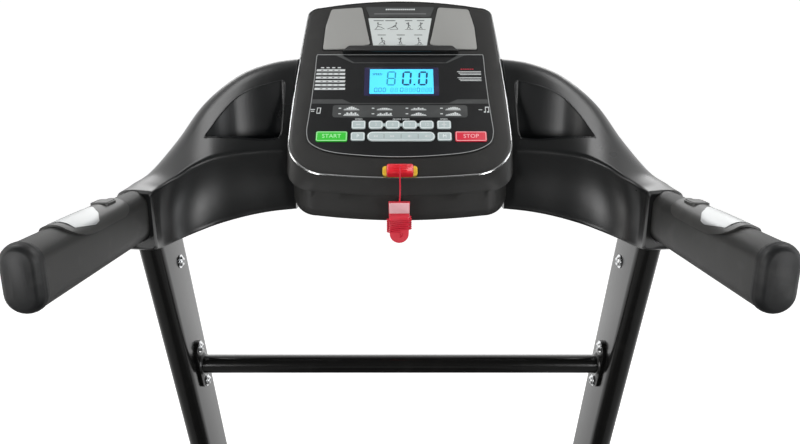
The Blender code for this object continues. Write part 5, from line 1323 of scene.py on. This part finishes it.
lofted(saddle_rings, bm=motor_bm)
piece("motor_body", motor_bm, motor_paint, "deck", ("motor",), sharp=35)
heat_sink = look("heat_sink_alloy", (0.50, 0.50, 0.49), 0.40, metal=1.0, grain=900, depth=0.15, worn=0.1)
board_green = look("circuit_board_green", (0.015, 0.10, 0.035), 0.45, grain=1500, depth=0.1)
control_bm = bmesh.new()
for k in range(11):
    rings = [[(0.0500 + 0.0085 * k + a, 0.4960 + b, z) for a, b in rounded(0.0022, 0.050, 0.0008, 3)]
             for z in (0.1000, 0.1260)]
    lofted(rings, bm=control_bm)
lofted([[(0.0925 + a, 0.4960 + b, z) for a, b in rounded(0.100, 0.056, 0.003)] for z in (0.0955, 0.1002)], bm=control_bm)
piece("controller_heat_sink", control_bm, heat_sink, "deck")
piece("controller_board", lofted([[(0.0925 + a, 0.4960 + b, z) for a, b in rounded(0.104, 0.058, 0.002)]
                                  for z in (0.1270, 0.1288)]), board_green, "deck")


# ---- Motor hood, switch and mains inlet ---------------------------------------------------------------------------
# A black moulded cover closes over the motor, with vent slots along its nose and a shallow step along its top. The
# rocker switch and the mains inlet stand side by side in its front.
HOOD = ((0.3445, 0.1640), (0.3445, 0.1780), (0.372, 0.236), (0.400, 0.2480), (0.540, 0.2440), (0.580, 0.2200),
        (0.598, 0.1700), (0.598, 0.1420))
HOOD_RADII = (0, 0.010, 0.020, 0.024, 0.030, 0.030, 0.020, 0)


def hood_line(inset):
    """The hood's side view, open below, set in by a wall's thickness."""
    points = soft_corners(HOOD, HOOD_RADII, 7, 0.48)
    if not inset:
        return points
    out = []
    for i, point in enumerate(points):
        along = (Vector(points[min(i + 1, len(points) - 1)]) - Vector(points[max(i - 1, 0)])).normalized()
        out.append((point[0] + along.y * inset, point[1] - along.x * inset))
    return out


ends = ((0.2890, 0.006), (0.2882, 0.0025), (0.2862, 0.0006), (0.2830, 0.0001))
stations = [(-x, d) for x, d in ends] + list(ends[::-1])
hood_bm = lofted([[(x, y, z) for y, z in hood_line(d)] for x, d in stations])
hood = piece("motor_hood_shell", hood_bm, rail_plastic, "deck", ("motor_hood",), sharp=26)
inside = [(y, z - (0.01 if z < 0.17 else 0)) for y, z in hood_line(0.0032)]
cut_with(hood, lofted([[(x, y, z) for y, z in inside] for x in (-0.2858, 0.2858)]))
SWITCH_X, INLET_X, NOSE_Z = 0.215, 0.165, 0.179
for x, y, width, height in ((SWITCH_X, 0.55, 0.031, 0.023), (INLET_X, 0.586, 0.029, 0.022)):
    shape = [(x + a, NOSE_Z + b) for a, b in rounded(width, height, 0.002)]
    cut_with(hood, lofted([[(a, stop, b) for a, b in shape] for stop in (y, 0.65)]))
vents = bmesh.new()
for k in range(14):
    for z in (0.190, 0.178):
        slot = [(-0.1650 + 0.022 * k + a, z + b) for a, b in rounded(0.0110, 0.0036, 0.0016, 3)]
        lofted([[(x, y, z) for x, z in slot] for y in (0.560, 0.620)], bm=vents)
cut_with(hood, vents)
hood.data.shade_smooth()
hood.data.set_sharp_from_angle(angle=math.radians(26))
outline = [(-0.004, -0.0090), (0.0016, -0.0102), (0.0030, -0.0060), (0.0034, 0.0), (0.0048, 0.0060), (0.0072, 0.0100),
           (0.0060, 0.0104), (-0.004, 0.0090)]
rings = [[(SWITCH_X + x, 0.5925 + a, NOSE_Z + b) for a, b in outline] for x in (-0.0125, -0.0119, 0.0119, 0.0125)]
red_rocker = look("rocker_red", (0.45, 0.010, 0.012), 0.30, coat=0.2, grain=900, depth=0.06)
piece("power_switch_rocker", lofted(rings), red_rocker, "power_switch", ("power_switch",), sharp=30)

# The switch's frame and the mains inlet: moulded collars let into the nose, and three pins in the inlet.
COLLAR = ((0.5830, -0.0012), (0.5975, -0.0012), (0.5985, 0.0), (0.5980, 0.0016), (0.5830, 0.0018))
for name, x, width, height in (("power_switch_frame", SWITCH_X, 0.0320, 0.0240),
                               ("mains_inlet_frame", INLET_X, 0.0300, 0.0230)):
    rings = []
    for y, d in COLLAR:
        shape = rounded(width + 2 * d, height + 2 * d, 0.0022 + d, 4)
        rings.append([(x + a, y, NOSE_Z + b) for a, b in shape])
    piece(name, band(rings), black_paint, "deck", sharp=30)
shape = rounded(0.0240, 0.0170, 0.003)
inlet_bm = lofted([[(INLET_X + a, y, NOSE_Z + b) for a, b in shape] for y in (0.5850, 0.5900)])
piece("mains_inlet_core", inlet_bm, rail_plastic, "deck")
pins = bmesh.new()
for a, b in ((-0.0070, -0.0020), (0.0, 0.0030), (0.0070, -0.0020)):
    bmesh.ops.create_cube(pins, size=1, matrix=Matrix.Translation((INLET_X + a, 0.5925, NOSE_Z + b))
                          @ Matrix.Diagonal((0.0018, 0.0060, 0.0040, 1)))
piece("mains_inlet_pins", pins, chrome, "deck")
